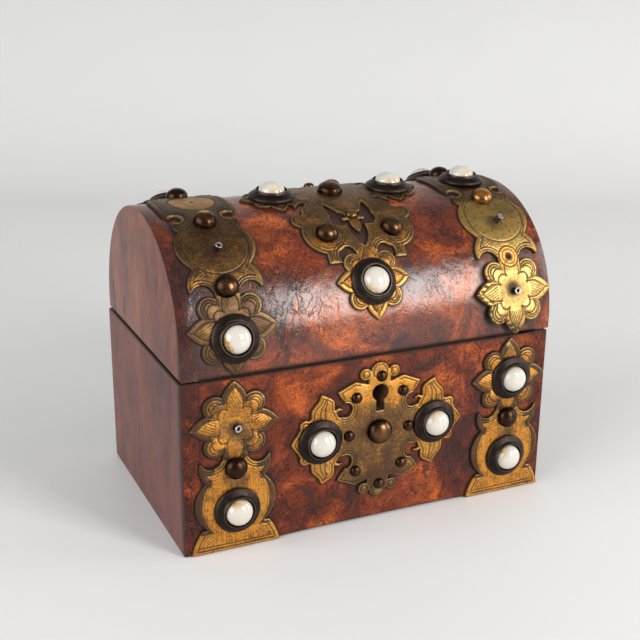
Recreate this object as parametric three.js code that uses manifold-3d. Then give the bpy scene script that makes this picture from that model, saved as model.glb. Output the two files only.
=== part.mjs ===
// A small dome-lidded keepsake box of burr walnut with engraved brass mounts, in millimetres, +Z up.
// The origin is the middle of the underside, the front looks along -Y and the length runs along X.
import * as THREE from 'three';
import { mergeVertices } from 'three/addons/utils/BufferGeometryUtils.js';
import Module from 'manifold-3d';

const wasm = await Module();
wasm.setup();

// Wooden box
const BOX_LENGTH = 150;
const BOX_DEPTH = 94;
const BASE_HEIGHT = 66;
const WALL = 6.5;
const FLOOR_THICKNESS = 6;
const SEAM_GAP = 0.8;
const LID_RIM_HEIGHT = 3.2;
const DOME_RISE = 47.2;
const DOME_FULLNESS = 2.1;
const DOME_FACETS = 36;
const LID_SHIFT = 0.5;

// Brass mounts
const FIT_GAP = 0.3;
const PLATE_THICKNESS = 1;
const ROW_STEP = 2.15;
const STRAP_X = [-55.6, 57.7];
const CENTRE_X = 1.2;
const BASE_FLOWER_Z = 48.8;
const BASE_FOOT_Z = 0.3;
const LID_FLOWER_S = 16.8;
const LID_CREST_S = 75.3;
const CENTRE_FLOWER_S = 27.5;
const CENTRE_CREST_S = 74;
const LOCK_Z = 36.6;
const LIFTED_TIP = 1.6;

// Flower of eight petals
const FLOWER_TIP = 16.6;
const FLOWER_HEART = 9.6;
const POINTED_HALF_WIDTH = 4.8;
const POINTED_WAIST = 9.2;
const ROUND_PETAL = 4.4;
const ROUND_PETAL_OFFSET = 7.3;
const CENTRE_FLOWER_SCALE = 0.89;
const ARM_FLOWER_SCALE = 0.76;

// Collars, stones, studs and pins
const COLLAR_RADIUS = 8.6;
const COLLAR_HEIGHT = 3.2;
const CUP_RADIUS = 5.5;
const CUP_FLOOR = 1;
const STONE_RADIUS = 5.2;
const STONE_HEIGHT = 4.6;
const STUD_RADIUS = 4.2;
const STUD_HEIGHT = 3.7;
const BOSS_RADIUS = 4.9;
const SMALL_STUD_RADIUS = 2.1;
const SMALL_STUD_HEIGHT = 1.6;
const STUD_ROOT = 0.4;
const PIN_RADIUS = 1.15;
const PIN_LENGTH = 3.4;
const ROUND_SIDES = 12;

// Lock and hinges
const KEYHOLE_X = 1.5;
const KEYHOLE_Z = 51.7;
const KEYHOLE_RADIUS = 3.15;
const KEYHOLE_SLOT = 2.9;
const KEYHOLE_FOOT_Z = 44.8;
const LOCK_CASE = [24, 6, 24];
const LOCK_MOUTH = 3;
const HINGE_X = 45;
const HINGE_WIDTH = 16;
const HINGE_BARREL = 1.8;
const HINGE_LEAF = 0.9;
const HINGE_LEAF_DEPTH = 5.5;

const LID_BOTTOM = BASE_HEIGHT + SEAM_GAP;
const DOME_SPRING = LID_BOTTOM + LID_RIM_HEIGHT;
const HALF_DEPTH = BOX_DEPTH / 2;
const HALF_LENGTH = BOX_LENGTH / 2;
const PLATE_TOP = FIT_GAP + PLATE_THICKNESS;
const HINGE_Y = HALF_DEPTH + HINGE_BARREL + 0.2;
const HINGE_Z = BASE_HEIGHT + SEAM_GAP / 2;

const finish = (color, roughness, metalness) =>
  new THREE.MeshStandardMaterial({ color, roughness, metalness });
const BURR_WALNUT = finish(0x7a3a22, 0.25, 0);
const END_WALNUT = finish(0x6b4338, 0.45, 0);
const GILT_BRASS = finish(0xb08a3e, 0.35, 1);
const DARK_BRASS = finish(0x5c4a30, 0.45, 1);
const BRIGHT_BRASS = finish(0xd9b458, 0.3, 1);
const EBONISED = finish(0x1d1715, 0.4, 0);
const WHITE_STONE = finish(0xf1efe6, 0.12, 0);
const STEEL = finish(0xa9a9a6, 0.35, 1);

// The lid's cross-section: an upright rim below a full half round, as points at equal steps of arc.
function domeCreases() {
  const fine = 2000;
  const curve = [new THREE.Vector2(-HALF_DEPTH, LID_BOTTOM)];
  for (let i = 0; i <= fine; i += 1) {
    const angle = (Math.PI * i) / fine;
    const across = Math.sign(Math.cos(angle)) * Math.abs(Math.cos(angle)) ** (2 / DOME_FULLNESS);
    const up = Math.abs(Math.sin(angle)) ** (2 / DOME_FULLNESS);
    curve.push(new THREE.Vector2(-HALF_DEPTH * across, DOME_SPRING + DOME_RISE * up));
  }
  curve.push(new THREE.Vector2(HALF_DEPTH, LID_BOTTOM));
  const lengths = [0];
  for (let i = 1; i < curve.length; i += 1) {
    lengths.push(lengths[i - 1] + curve[i].distanceTo(curve[i - 1]));
  }
  const total = lengths[lengths.length - 1];
  const creases = [];
  let next = 1;
  for (let k = 0; k <= DOME_FACETS; k += 1) {
    const s = (total * k) / DOME_FACETS;
    while (next < curve.length - 1 && lengths[next] < s) next += 1;
    const part = (s - lengths[next - 1]) / (lengths[next] - lengths[next - 1]);
    const point = curve[next - 1].clone().lerp(curve[next], part);
    const along = curve[next].clone().sub(curve[next - 1]).normalize();
    creases.push({ s, point, normal: new THREE.Vector2(-along.y, along.x) });
  }
  creases[0].normal.set(-1, 0);
  creases[DOME_FACETS].normal.set(1, 0);
  return creases;
}

const CREASES = domeCreases();
const FACET = CREASES[1].s;

// A place on the lid: x along the box, s up the front and over the back, h out from the wood.
function onLid(x, s, h) {
  const k = Math.min(DOME_FACETS - 1, Math.max(0, Math.floor(s / FACET)));
  const part = (s - CREASES[k].s) / FACET;
  const low = CREASES[k].point.clone().addScaledVector(CREASES[k].normal, h);
  const high = CREASES[k + 1].point.clone().addScaledVector(CREASES[k + 1].normal, h);
  const mixed = low.lerp(high, part);
  return new THREE.Vector3(x, mixed.x, mixed.y);
}

function lidNormal(s) {
  return onLid(0, s, 1).sub(onLid(0, s, 0)).normalize();
}

const onFront = (x, z, h) => new THREE.Vector3(x, -HALF_DEPTH - h, z);

// Flat outlines as functions of place that are negative inside
const circle = (u, v, cu, cv, radius) => Math.hypot(u - cu, v - cv) - radius;
const ellipse = (u, v, cv, a, b) => (Math.hypot(u / a, (v - cv) / b) - 1) * b;
const block = (u, v, halfWidth, low, high) => Math.max(Math.abs(u) - halfWidth, low - v, v - high);

function capsule(u, v, from, to, radius) {
  const du = to[0] - from[0];
  const dv = to[1] - from[1];
  const along = ((u - from[0]) * du + (v - from[1]) * dv) / (du * du + dv * dv);
  const part = Math.min(1, Math.max(0, along));
  return Math.hypot(u - from[0] - part * du, v - from[1] - part * dv) - radius;
}

function pointedPetal(along, across, tip, waist, halfWidth) {
  if (along < 0) return Math.hypot(along, across);
  const part = Math.max(0, (along - waist) / (tip - waist));
  return Math.abs(across) - halfWidth * (1 - part ** 2);
}

function flower(u, v, scale) {
  const a = Math.abs(u) / scale;
  const b = Math.abs(v) / scale;
  const shapes = [
    Math.hypot(a, b) - FLOWER_HEART,
    pointedPetal(a, b, FLOWER_TIP, POINTED_WAIST, POINTED_HALF_WIDTH),
    pointedPetal(b, a, FLOWER_TIP, POINTED_WAIST, POINTED_HALF_WIDTH),
    circle(a, b, ROUND_PETAL_OFFSET, ROUND_PETAL_OFFSET, ROUND_PETAL),
  ];
  return Math.min(...shapes) * scale;
}

// Head that every strap has: the flower, its neck between two horns, and the round body
function strapHead(u, v, bodyHalfWidth, bodyHalfLength) {
  const side = Math.abs(u);
  const horns = Math.max(ellipse(side, v, 15.2, 13.6, 10.5), 13 - v);
  const hornsCut = Math.max(horns, -circle(side, v, 8.8, 11.4, 4.1));
  return Math.min(
    flower(u, v, 1),
    block(u, v, 4.6, 6, 22),
    hornsCut,
    ellipse(u, v, 30, bodyHalfWidth, bodyHalfLength),
  );
}

function lidStrap(u, s) {
  const crest = LID_CREST_S - LID_FLOWER_S;
  const v = crest - Math.abs(s - LID_CREST_S);
  const side = Math.abs(u);
  const square = ((side / 14.2) ** 4 + ((v - crest) / 14.5) ** 4) ** 0.25 - 1;
  const scrolls = Math.min(block(u, v, 8.8, 38, 46), circle(side, v, 8.8, 41, 3.6));
  const eye = Math.min(circle(side, v, 9.9, 45, 2.1), Math.max(9.9 - side, Math.abs(v - 45) - 0.8));
  return Math.max(Math.min(strapHead(u, v, 14.6, 12.2), scrolls, square * 14), -eye);
}

function baseStrap(u, z) {
  const v = BASE_FLOWER_Z - z;
  const foot = BASE_FLOWER_Z - BASE_FOOT_Z;
  const flare = 12.6 + 4.2 * (1 - Math.max(0, (foot - v) / 9.5) ** 1.6);
  return Math.min(strapHead(u, v, 15.4, 13), Math.max(Math.abs(u) - flare, foot - 9.3 - v));
}

function centrePlate(u, s) {
  const crest = CENTRE_CREST_S - CENTRE_FLOWER_S;
  const v = crest - Math.abs(s - CENTRE_CREST_S);
  const side = Math.abs(u);
  const horns = Math.max(block(u, v, 15.6, 7, 14), -circle(side, v, 7.8, 9.7, 3.5));
  const field = block(u, v, 19.6, 20, crest + 1);
  const solid = Math.min(
    flower(u, v, CENTRE_FLOWER_SCALE),
    block(u, v, 4.1, 6, 15),
    block(u, v, 9, 13, 21),
    horns,
    circle(side, v, 13.6, 19.6, 8.7),
    circle(side, v, 20.5, 27, 3.7),
    field,
    flower(side - 24.2, v - crest, ARM_FLOWER_SCALE),
  );
  const scroll = Math.min(
    circle(side, v, 20.4, 32, 2.2),
    capsule(side, v, [20.4, 32], [26, 32], 1),
    capsule(side, v, [20.4, 32], [15.6, 37.5], 1.1),
  );
  const leaf = pointedPetal(22.5 - v, side, 8.4, 2, 3.4);
  const lobes = Math.min(
    circle(side, v, 5.4, 27, 3.2),
    pointedPetal(22 - v, side, 8, 2, 4),
    capsule(side, v, [5.6, 28], [7, 37], 0.9),
  );
  const island = pointedPetal(30 - v, side, 8.2, 1, 2.4);
  const opening = Math.max(Math.min(lobes, leaf), -island);
  return Math.max(solid, -scroll, -opening);
}

function lockPlate(u, z) {
  const side = Math.abs(u);
  const v = Math.abs(z - LOCK_Z);
  const ribbon = Math.max(
    v - 20.8 + Math.max(0, side - 10) * 0.43 + Math.max(0, 10 - side) * 0.3,
    side - 14 - Math.max(0, v - 12.4) * 0.6,
  );
  const crown = Math.min(circle(side, v, 5.6, 23, 2.9), circle(side, v, 0, 23.2, 3.9));
  const arm = Math.min(
    circle(side, v, 23.7, 0, 9.8),
    pointedPetal(side - 23.7, v, 11.8, 7.5, 4.2),
    circle(side, v, 30.3, 6.9, 2.7),
    pointedPetal(v - 4, side - 22.8, 13.9, 7, 4.7),
    capsule(side, v, [19.5, 8.6], [16, 9.8], 1.4),
  );
  const solid = Math.min(ribbon, crown, arm, block(side, v, 16, -1, 8));
  const scroll = Math.min(
    circle(side, v, 13.75, 10.4, 2.6),
    capsule(side, v, [13.75, 10.4], [18.5, 14.5], 1.4),
    capsule(side, v, [7.4, 20.4], [10, 21.6], 0.8),
  );
  return Math.max(solid, -scroll);
}

// The stretches of one row that lie inside an outline
function insideStretches(outline, v, reach) {
  const step = 0.35;
  const narrowest = 0.2;
  const crossings = [];
  let before = outline(-reach, v);
  for (let u = -reach + step; u <= reach; u += step) {
    const here = outline(u, v);
    if (here < 0 !== before < 0) {
      let low = u - step;
      let high = u;
      for (let i = 0; i < 24; i += 1) {
        const middle = (low + high) / 2;
        if (outline(middle, v) < 0 === before < 0) low = middle;
        else high = middle;
      }
      crossings.push((low + high) / 2);
    }
    before = here;
  }
  const stretches = [];
  for (let i = 0; i + 1 < crossings.length; i += 2) {
    if (crossings[i + 1] - crossings[i] > narrowest) stretches.push([crossings[i], crossings[i + 1]]);
  }
  return stretches;
}

// Stretches of two neighbouring rows, gathered where they overlap
function gatherStretches(below, above) {
  const groups = [];
  const all = [...below.map((r) => ({ r, row: 0 })), ...above.map((r) => ({ r, row: 1 }))];
  all.sort((p, q) => p.r[0] - q.r[0]);
  for (const item of all) {
    const last = groups[groups.length - 1];
    const reaches = last?.some((p) => p.row !== item.row && p.r[1] > item.r[0]);
    if (reaches) last.push(item);
    else groups.push([item]);
  }
  return groups.map((g) => [0, 1].map((row) => g.filter((p) => p.row === row).map((p) => p.r)));
}

// Corners of one patch between two rows, with a short notch or tip where a stretch parts or ends
function patchCorners([below, above], low, high) {
  const corners = [];
  const side = (stretches, v, notch) => {
    stretches.forEach((r, i) => {
      if (i > 0) corners.push([(stretches[i - 1][1] + r[0]) / 2, notch]);
      corners.push([r[0], v], [r[1], v]);
    });
  };
  const mix = (part) => low + (high - low) * part;
  const middle = (stretches) => (stretches[0][0] + stretches[stretches.length - 1][1]) / 2;
  if (below.length) side(below, low, mix(0.45));
  else corners.push([middle(above), mix(0.5)]);
  const first = corners.length;
  if (above.length) side(above, high, mix(0.55));
  else corners.push([middle(below), mix(0.5)]);
  return corners.slice(0, first).concat(corners.slice(first).reverse());
}

// A plate of even thickness with the given outline, laid on a surface by the place function.
function plateGeometry(outline, reach, rows, place, lift = () => 0) {
  const points = [];
  const faces = [];
  const known = new Map();
  const corner = ([u, v], h) => {
    const key = `${u.toFixed(5)} ${v.toFixed(5)} ${h}`;
    if (!known.has(key)) {
      known.set(key, points.length / 3);
      points.push(...place(u, v, h + lift(v)).toArray());
    }
    return known.get(key);
  };
  const wall = (from, to) => {
    const [a, b] = [corner(from, FIT_GAP), corner(to, FIT_GAP)];
    const [c, d] = [corner(to, PLATE_TOP), corner(from, PLATE_TOP)];
    faces.push(a, b, c, a, c, d);
  };
  const stretches = rows.map((v) => insideStretches(outline, v, reach));
  for (let k = 0; k + 1 < rows.length; k += 1) {
    for (const group of gatherStretches(stretches[k], stretches[k + 1])) {
      const corners = patchCorners(group, rows[k], rows[k + 1]);
      const flat = corners.map(([u, v]) => new THREE.Vector2(u, v));
      for (const [a, b, c] of THREE.ShapeUtils.triangulateShape(flat, [])) {
        faces.push(...[a, b, c].map((i) => corner(corners[i], PLATE_TOP)));
        faces.push(...[a, c, b].map((i) => corner(corners[i], FIT_GAP)));
      }
      corners.forEach((from, i) => {
        const to = corners[(i + 1) % corners.length];
        const inner = from[1] === to[1] && from[1] !== rows[0] && from[1] !== rows[rows.length - 1];
        if (!inner) wall(from, to);
      });
    }
  }
  const geometry = new THREE.BufferGeometry();
  geometry.setAttribute('position', new THREE.Float32BufferAttribute(points, 3));
  geometry.setIndex(faces);
  return geometry;
}

function evenRows(low, high) {
  const count = Math.round((high - low) / ROW_STEP);
  return Array.from({ length: count + 1 }, (_, i) => low + ((high - low) * i) / count);
}

// Rows on the lid fall on the dome's creases and half way between them, with one more at each end's tip.
function lidRows(low, high) {
  const half = FACET / 2;
  const nearTip = 0.3;
  const rows = [low, low + nearTip, high - nearTip, high];
  for (let k = Math.ceil((low + 1) / half); k * half < high - 1; k += 1) rows.push(k * half);
  return rows.sort((p, q) => p - q);
}

// Boolean work on closed meshes
function toSolid(geometry, matrix = new THREE.Matrix4()) {
  const bare = geometry.clone().applyMatrix4(matrix);
  bare.deleteAttribute('normal');
  bare.deleteAttribute('uv');
  const merged = mergeVertices(bare, 1e-4);
  return new wasm.Manifold(new wasm.Mesh({
    numProp: 3,
    vertProperties: merged.attributes.position.array,
    triVerts: new Uint32Array(merged.index.array),
  }));
}

function fromSolid(solid) {
  const mesh = solid.getMesh();
  const geometry = new THREE.BufferGeometry();
  geometry.setAttribute('position', new THREE.BufferAttribute(mesh.vertProperties, 3));
  geometry.setIndex(new THREE.BufferAttribute(mesh.triVerts, 1));
  return geometry;
}

const at = (x, y, z) => new THREE.Matrix4().makeTranslation(x, y, z);

function turned(position, normal) {
  const turn = new THREE.Quaternion().setFromUnitVectors(new THREE.Vector3(0, 1, 0), normal);
  return new THREE.Matrix4().compose(position, turn, new THREE.Vector3(1, 1, 1));
}

const lathe = (profile, sides) =>
  new THREE.LatheGeometry(profile.map(([r, y]) => new THREE.Vector2(r, y)), sides);

const collarShape = lathe([
  [0, 0], [COLLAR_RADIUS, 0], [COLLAR_RADIUS, 0.9], [CUP_RADIUS + 0.9, 2.5],
  [CUP_RADIUS + 0.6, COLLAR_HEIGHT], [CUP_RADIUS, COLLAR_HEIGHT], [CUP_RADIUS, CUP_FLOOR], [0, CUP_FLOOR],
], ROUND_SIDES);

function domeShape(radius, height, sides, rings) {
  const profile = [[0, 0]];
  for (let i = 0; i <= rings; i += 1) {
    const angle = (Math.PI / 2) * (i / rings);
    profile.push([i === rings ? 0 : radius * Math.cos(angle), height * (0.12 + 0.88 * Math.sin(angle))]);
  }
  profile.splice(1, 0, [radius, 0]);
  return lathe(profile, sides);
}

const stoneShape = domeShape(STONE_RADIUS, STONE_HEIGHT, ROUND_SIDES, 3);
const studShape = domeShape(STUD_RADIUS, STUD_HEIGHT, ROUND_SIDES, 2);
const bossShape = domeShape(BOSS_RADIUS, STUD_HEIGHT, ROUND_SIDES, 2);
const smallStudShape = domeShape(SMALL_STUD_RADIUS, SMALL_STUD_HEIGHT + STUD_ROOT, 6, 2);
const pinShape = lathe([
  [0, 0], [PIN_RADIUS, 0], [PIN_RADIUS, PIN_LENGTH], [PIN_RADIUS / 2, PIN_LENGTH],
  [PIN_RADIUS / 2, PIN_LENGTH - 1], [0, PIN_LENGTH - 1],
], 8);

function named(name, geometry, material) {
  const mesh = new THREE.Mesh(geometry, material);
  mesh.name = name;
  return mesh;
}

// A round piece standing on a mount, h above the wood
function fitting(group, name, shape, material, position, normal) {
  const mesh = named(name, shape, material);
  mesh.applyMatrix4(turned(position, normal));
  group.add(mesh);
}

const FRONT = new THREE.Vector3(0, -1, 0);
const SEAT = PLATE_TOP + FIT_GAP;
const STONE_SEAT = SEAT + CUP_FLOOR + FIT_GAP;

function frontFitting(name, shape, material, x, z, h = SEAT) {
  fitting(base, name, shape, material, onFront(x, z, h), FRONT);
}

function lidFitting(name, shape, material, x, s, h = SEAT) {
  const normal = lidNormal(s);
  fitting(lid, name, shape, material, onLid(x, s, 0).addScaledVector(normal, h), normal);
}

function frontStone(place, x, z) {
  frontFitting(`${place}_collar`, collarShape, EBONISED, x, z);
  frontFitting(`${place}_cabochon`, stoneShape, WHITE_STONE, x, z, STONE_SEAT);
}

function lidStone(place, x, s) {
  lidFitting(`${place}_collar`, collarShape, EBONISED, x, s);
  lidFitting(`${place}_cabochon`, stoneShape, WHITE_STONE, x, s, STONE_SEAT);
}

// Small studs that are riveted into a plate and stay one piece with it
function withSmallStuds(geometry, studs, cut) {
  let solid = toSolid(geometry);
  if (cut) solid = solid.subtract(cut);
  for (const { shape, position, normal } of studs) {
    solid = solid.add(toSolid(shape, turned(position, normal)));
  }
  return fromSolid(solid);
}

const base = new THREE.Group();
const lid = new THREE.Group();
lid.position.x = LID_SHIFT;

function board(name, size, centre, material, cuts = []) {
  let solid = toSolid(new THREE.BoxGeometry(...size), at(...centre));
  for (const cut of cuts) solid = solid.subtract(cut);
  base.add(named(name, fromSolid(solid), material));
}

function keyholeTool(depth, y) {
  const head = new THREE.CylinderGeometry(KEYHOLE_RADIUS, KEYHOLE_RADIUS, depth, ROUND_SIDES);
  const slotHeight = KEYHOLE_Z - KEYHOLE_FOOT_Z;
  const slot = new THREE.BoxGeometry(KEYHOLE_SLOT, depth, slotHeight);
  const middle = (KEYHOLE_Z + KEYHOLE_FOOT_Z) / 2;
  return toSolid(head, at(KEYHOLE_X, y, KEYHOLE_Z)).add(toSolid(slot, at(KEYHOLE_X, y, middle)));
}

// Recess for one hinge leaf in the back edge of the base or the lid
function leafRecess(x, low, high) {
  const depth = HINGE_LEAF_DEPTH + FIT_GAP + 2;
  const size = [HINGE_WIDTH + 2 * FIT_GAP, depth, high - low];
  const y = HALF_DEPTH - HINGE_LEAF_DEPTH - FIT_GAP + depth / 2;
  return toSolid(new THREE.BoxGeometry(...size), at(x, y, (low + high) / 2));
}

function buildBase() {
  const inner = BOX_LENGTH - 2 * WALL;
  const wallY = HALF_DEPTH - WALL / 2;
  const middleZ = BASE_HEIGHT / 2;
  const recessFloor = BASE_HEIGHT - HINGE_LEAF - 2 * FIT_GAP;
  const recesses = [-HINGE_X, HINGE_X].map((x) => leafRecess(x, recessFloor, BASE_HEIGHT + 1));
  board('base_front_board', [inner, WALL, BASE_HEIGHT], [0, -wallY, middleZ], BURR_WALNUT,
    [keyholeTool(WALL + 2, -wallY)]);
  board('base_back_board', [inner, WALL, BASE_HEIGHT], [0, wallY, middleZ], BURR_WALNUT, recesses);
  const endX = HALF_LENGTH - WALL / 2;
  board('base_left_end', [WALL, BOX_DEPTH, BASE_HEIGHT], [-endX, 0, middleZ], END_WALNUT);
  board('base_right_end', [WALL, BOX_DEPTH, BASE_HEIGHT], [endX, 0, middleZ], END_WALNUT);
  board('base_bottom_board', [inner, BOX_DEPTH - 2 * WALL, FLOOR_THICKNESS],
    [0, 0, FLOOR_THICKNESS / 2], END_WALNUT);
  const caseFront = -HALF_DEPTH + WALL + FIT_GAP;
  const caseY = caseFront + LOCK_CASE[1] / 2;
  board('lock_case', LOCK_CASE, [KEYHOLE_X, caseY, KEYHOLE_Z - 1], STEEL,
    [keyholeTool(2 * LOCK_MOUTH, caseFront)]);
}

function buildLid() {
  const outer = CREASES.map(({ point }) => point);
  const hollow = CREASES.filter((_, k) => k % 2 === 0)
    .map(({ point, normal }) => point.clone().addScaledVector(normal, -WALL));
  const alongX = new THREE.Matrix4().set(0, 0, 1, 0, 1, 0, 0, 0, 0, 1, 0, 0, 0, 0, 0, 1);
  const extruded = (outline, from, to) => {
    const options = { depth: to - from, bevelEnabled: false, steps: 1 };
    const shape = new THREE.Shape(outline);
    return new THREE.ExtrudeGeometry(shape, options).applyMatrix4(alongX).translate(from, 0, 0);
  };
  const inner = HALF_LENGTH - WALL;
  const recessTop = LID_BOTTOM + HINGE_LEAF + 2 * FIT_GAP;
  let shell = toSolid(extruded([...outer, ...hollow.reverse()], -inner, inner));
  for (const x of [-HINGE_X, HINGE_X]) {
    shell = shell.subtract(leafRecess(x - LID_SHIFT, LID_BOTTOM - 1, recessTop));
  }
  lid.add(named('lid_dome', fromSolid(shell), BURR_WALNUT));
  lid.add(named('lid_left_end', extruded(outer, -HALF_LENGTH, -inner), END_WALNUT));
  lid.add(named('lid_right_end', extruded(outer, inner, HALF_LENGTH), END_WALNUT));
}

// One leaf of a butt hinge with its knuckles; side is -1 for the base's leaf and 1 for the lid's.
function hingeLeaf(x, side, knuckles) {
  const leafZ = HINGE_Z + side * (SEAM_GAP / 2 + FIT_GAP + HINGE_LEAF / 2);
  const plate = new THREE.BoxGeometry(HINGE_WIDTH, HINGE_LEAF_DEPTH, HINGE_LEAF);
  let solid = toSolid(plate, at(x, HALF_DEPTH - HINGE_LEAF_DEPTH / 2, leafZ));
  for (const [from, to] of knuckles) {
    const middle = x + (from + to) / 2;
    const barrel = new THREE.CylinderGeometry(HINGE_BARREL, HINGE_BARREL, to - from, ROUND_SIDES);
    const lying = at(middle, HINGE_Y, HINGE_Z).multiply(new THREE.Matrix4().makeRotationZ(Math.PI / 2));
    const reach = HINGE_Y - HALF_DEPTH + 1;
    const neck = new THREE.BoxGeometry(to - from, reach, HINGE_LEAF);
    solid = solid.add(toSolid(barrel, lying));
    solid = solid.add(toSolid(neck, at(middle, HINGE_Y - reach / 2, leafZ)));
  }
  return fromSolid(solid);
}

function buildHinges() {
  const half = HINGE_WIDTH / 2;
  const tongue = HINGE_WIDTH / 6;
  [[-HINGE_X, 'left'], [HINGE_X, 'right']].forEach(([x, side]) => {
    const outerPair = [[-half, -tongue], [tongue, half]];
    const middleOne = [[-tongue + FIT_GAP, tongue - FIT_GAP]];
    base.add(named(`hinge_${side}_base_leaf`, hingeLeaf(x, -1, outerPair), GILT_BRASS));
    const lidLeaf = hingeLeaf(x, 1, middleOne).translate(-LID_SHIFT, 0, 0);
    lid.add(named(`hinge_${side}_lid_leaf`, lidLeaf, GILT_BRASS));
  });
}

function buildBaseMounts() {
  const tip = BASE_FLOWER_Z + FLOWER_TIP;
  const rows = [...evenRows(BASE_FOOT_Z, tip - 0.4), tip];
  STRAP_X.forEach((x, i) => {
    const side = ['left', 'right'][i];
    const place = (u, z, h) => onFront(x + u, z, h);
    base.add(named(`base_${side}_strap`, plateGeometry(baseStrap, 19, rows, place), GILT_BRASS));
    frontFitting(`base_${side}_strap_stud`, studShape, DARK_BRASS, x, BASE_FLOWER_Z - 16.2);
    frontStone(`base_${side}_strap_body`, x + 0.2, BASE_FLOWER_Z - 32.8);
  });
  frontStone('base_right_strap_flower', STRAP_X[1] + 0.5, BASE_FLOWER_Z + 0.4);
  frontFitting('base_left_strap_flower_pin', pinShape, STEEL, STRAP_X[0] + 0.6, BASE_FLOWER_Z - 1.2);
}

function buildLockMount() {
  const armX = 23.7;
  const lockRows = evenRows(LOCK_Z - 28.2, LOCK_Z + 28.2);
  const place = (u, z, h) => onFront(CENTRE_X + u, z, h);
  const plate = plateGeometry(lockPlate, 38, lockRows, place);
  const studs = [];
  for (const turn of [-1, 1]) {
    studs.push([turn * 12.4, 0], [0.5, turn * 21.8]);
    for (const side of [-1, 1]) studs.push([side * 9.6, turn * 14.7]);
  }
  const placed = studs.map(([u, v]) => ({
    shape: smallStudShape,
    position: onFront(CENTRE_X + u, LOCK_Z + v, PLATE_TOP - STUD_ROOT),
    normal: FRONT,
  }));
  const keyhole = keyholeTool(4 * PLATE_TOP, -HALF_DEPTH);
  base.add(named('lock_plate', withSmallStuds(plate, placed, keyhole), GILT_BRASS));
  frontFitting('lock_plate_boss', bossShape, DARK_BRASS, CENTRE_X, LOCK_Z);
  frontStone('lock_plate_left', CENTRE_X - armX - 0.5, LOCK_Z);
  frontStone('lock_plate_right', CENTRE_X + armX - 0.5, LOCK_Z);
}

// The lower flower of the right strap has sprung away from the wood.
const sprungFlower = (s) => LIFTED_TIP * Math.max(0, 1 - s / 26) ** 1.5;

function lidStud(shape, x, s) {
  const normal = lidNormal(s);
  const position = onLid(x, s, 0).addScaledVector(normal, PLATE_TOP - STUD_ROOT);
  return { shape, position, normal };
}

function buildLidMounts() {
  const mirrored = (s) => 2 * LID_CREST_S - s;
  const rows = lidRows(LID_FLOWER_S - FLOWER_TIP, mirrored(LID_FLOWER_S) + FLOWER_TIP);
  STRAP_X.forEach((x, i) => {
    const side = ['left', 'right'][i];
    const place = (u, s, h) => onLid(x + u, s, h);
    const strap = plateGeometry(lidStrap, 19, rows, place, i ? sprungFlower : undefined);
    const hidden = [
      lidStud(studShape, x, mirrored(31)),
      lidStud(smallStudShape, x, mirrored(LID_FLOWER_S)),
    ];
    lid.add(named(`lid_${side}_strap`, withSmallStuds(strap, hidden), [DARK_BRASS, BRIGHT_BRASS][i]));
  });
  const [left, right] = STRAP_X;
  lidStone('lid_left_strap_flower', left + 0.2, 13.4);
  lidFitting('lid_left_strap_neck_stud', studShape, DARK_BRASS, left, 31);
  lidFitting('lid_left_strap_disc_pin', pinShape, STEEL, left + 0.3, 45.2);
  lidFitting('lid_left_strap_upper_stud', studShape, DARK_BRASS, left, 58.7);
  lidFitting('lid_left_strap_rear_stud', studShape, DARK_BRASS, left, 90.5);
  lidStone('lid_left_strap_rear', left, 105.3);
  lidFitting('lid_right_strap_flower_pin', pinShape, STEEL, right + 0.3, 16.8, SEAT + LIFTED_TIP / 3);
  lidFitting('lid_right_strap_disc_pin', pinShape, STEEL, right + 0.3, 44.5);
  lidFitting('lid_right_strap_upper_stud', studShape, BRIGHT_BRASS, right, 57);
  lidStone('lid_right_strap_crest', right, 73.2);
  lidFitting('lid_right_strap_rear_stud', studShape, DARK_BRASS, right, 89.8);
  lidStone('lid_right_strap_rear', right, 104.3);
}

function buildLidCentre() {
  const mirrored = (s) => 2 * CENTRE_CREST_S - s;
  const tip = FLOWER_TIP * CENTRE_FLOWER_SCALE;
  const rows = lidRows(CENTRE_FLOWER_S - tip, mirrored(CENTRE_FLOWER_S) + tip);
  const place = (u, s, h) => onLid(u, s, h);
  const plate = plateGeometry(centrePlate, 42, rows, place);
  const domeS = 46.8;
  const domeX = 13.2;
  const studS = 56.2;
  const fused = [studS, mirrored(studS), mirrored(CENTRE_FLOWER_S)].map((s) => lidStud(smallStudShape, 0, s));
  for (const x of [-domeX, domeX]) fused.push(lidStud(studShape, x, mirrored(domeS)));
  lid.add(named('lid_centre_plate', withSmallStuds(plate, fused), DARK_BRASS));
  lidStone('lid_centre_flower', -0.6, 26.6);
  lidStone('lid_centre_left_arm', -24.6, 72.8);
  lidStone('lid_centre_right_arm', 24.2, 72.8);
  lidFitting('lid_centre_left_stud', studShape, DARK_BRASS, -domeX, domeS);
  lidFitting('lid_centre_right_stud', studShape, DARK_BRASS, domeX, domeS);
  lidFitting('lid_centre_crest_boss', bossShape, DARK_BRASS, 0, CENTRE_CREST_S);
}

buildBase();
buildLid();
buildHinges();
buildBaseMounts();
buildLockMount();
buildLidMounts();
buildLidCentre();

const casket = new THREE.Group();
casket.add(base, lid);
export default casket;
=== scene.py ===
"""A dome-lidded keepsake box of burr walnut with engraved brass mounts and white cabochons."""
import math
import random

import bpy
import numpy as np
from bpy.props import FloatProperty, FloatVectorProperty, PointerProperty
from mathutils import Matrix, Vector
from mathutils.kdtree import KDTree


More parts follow.
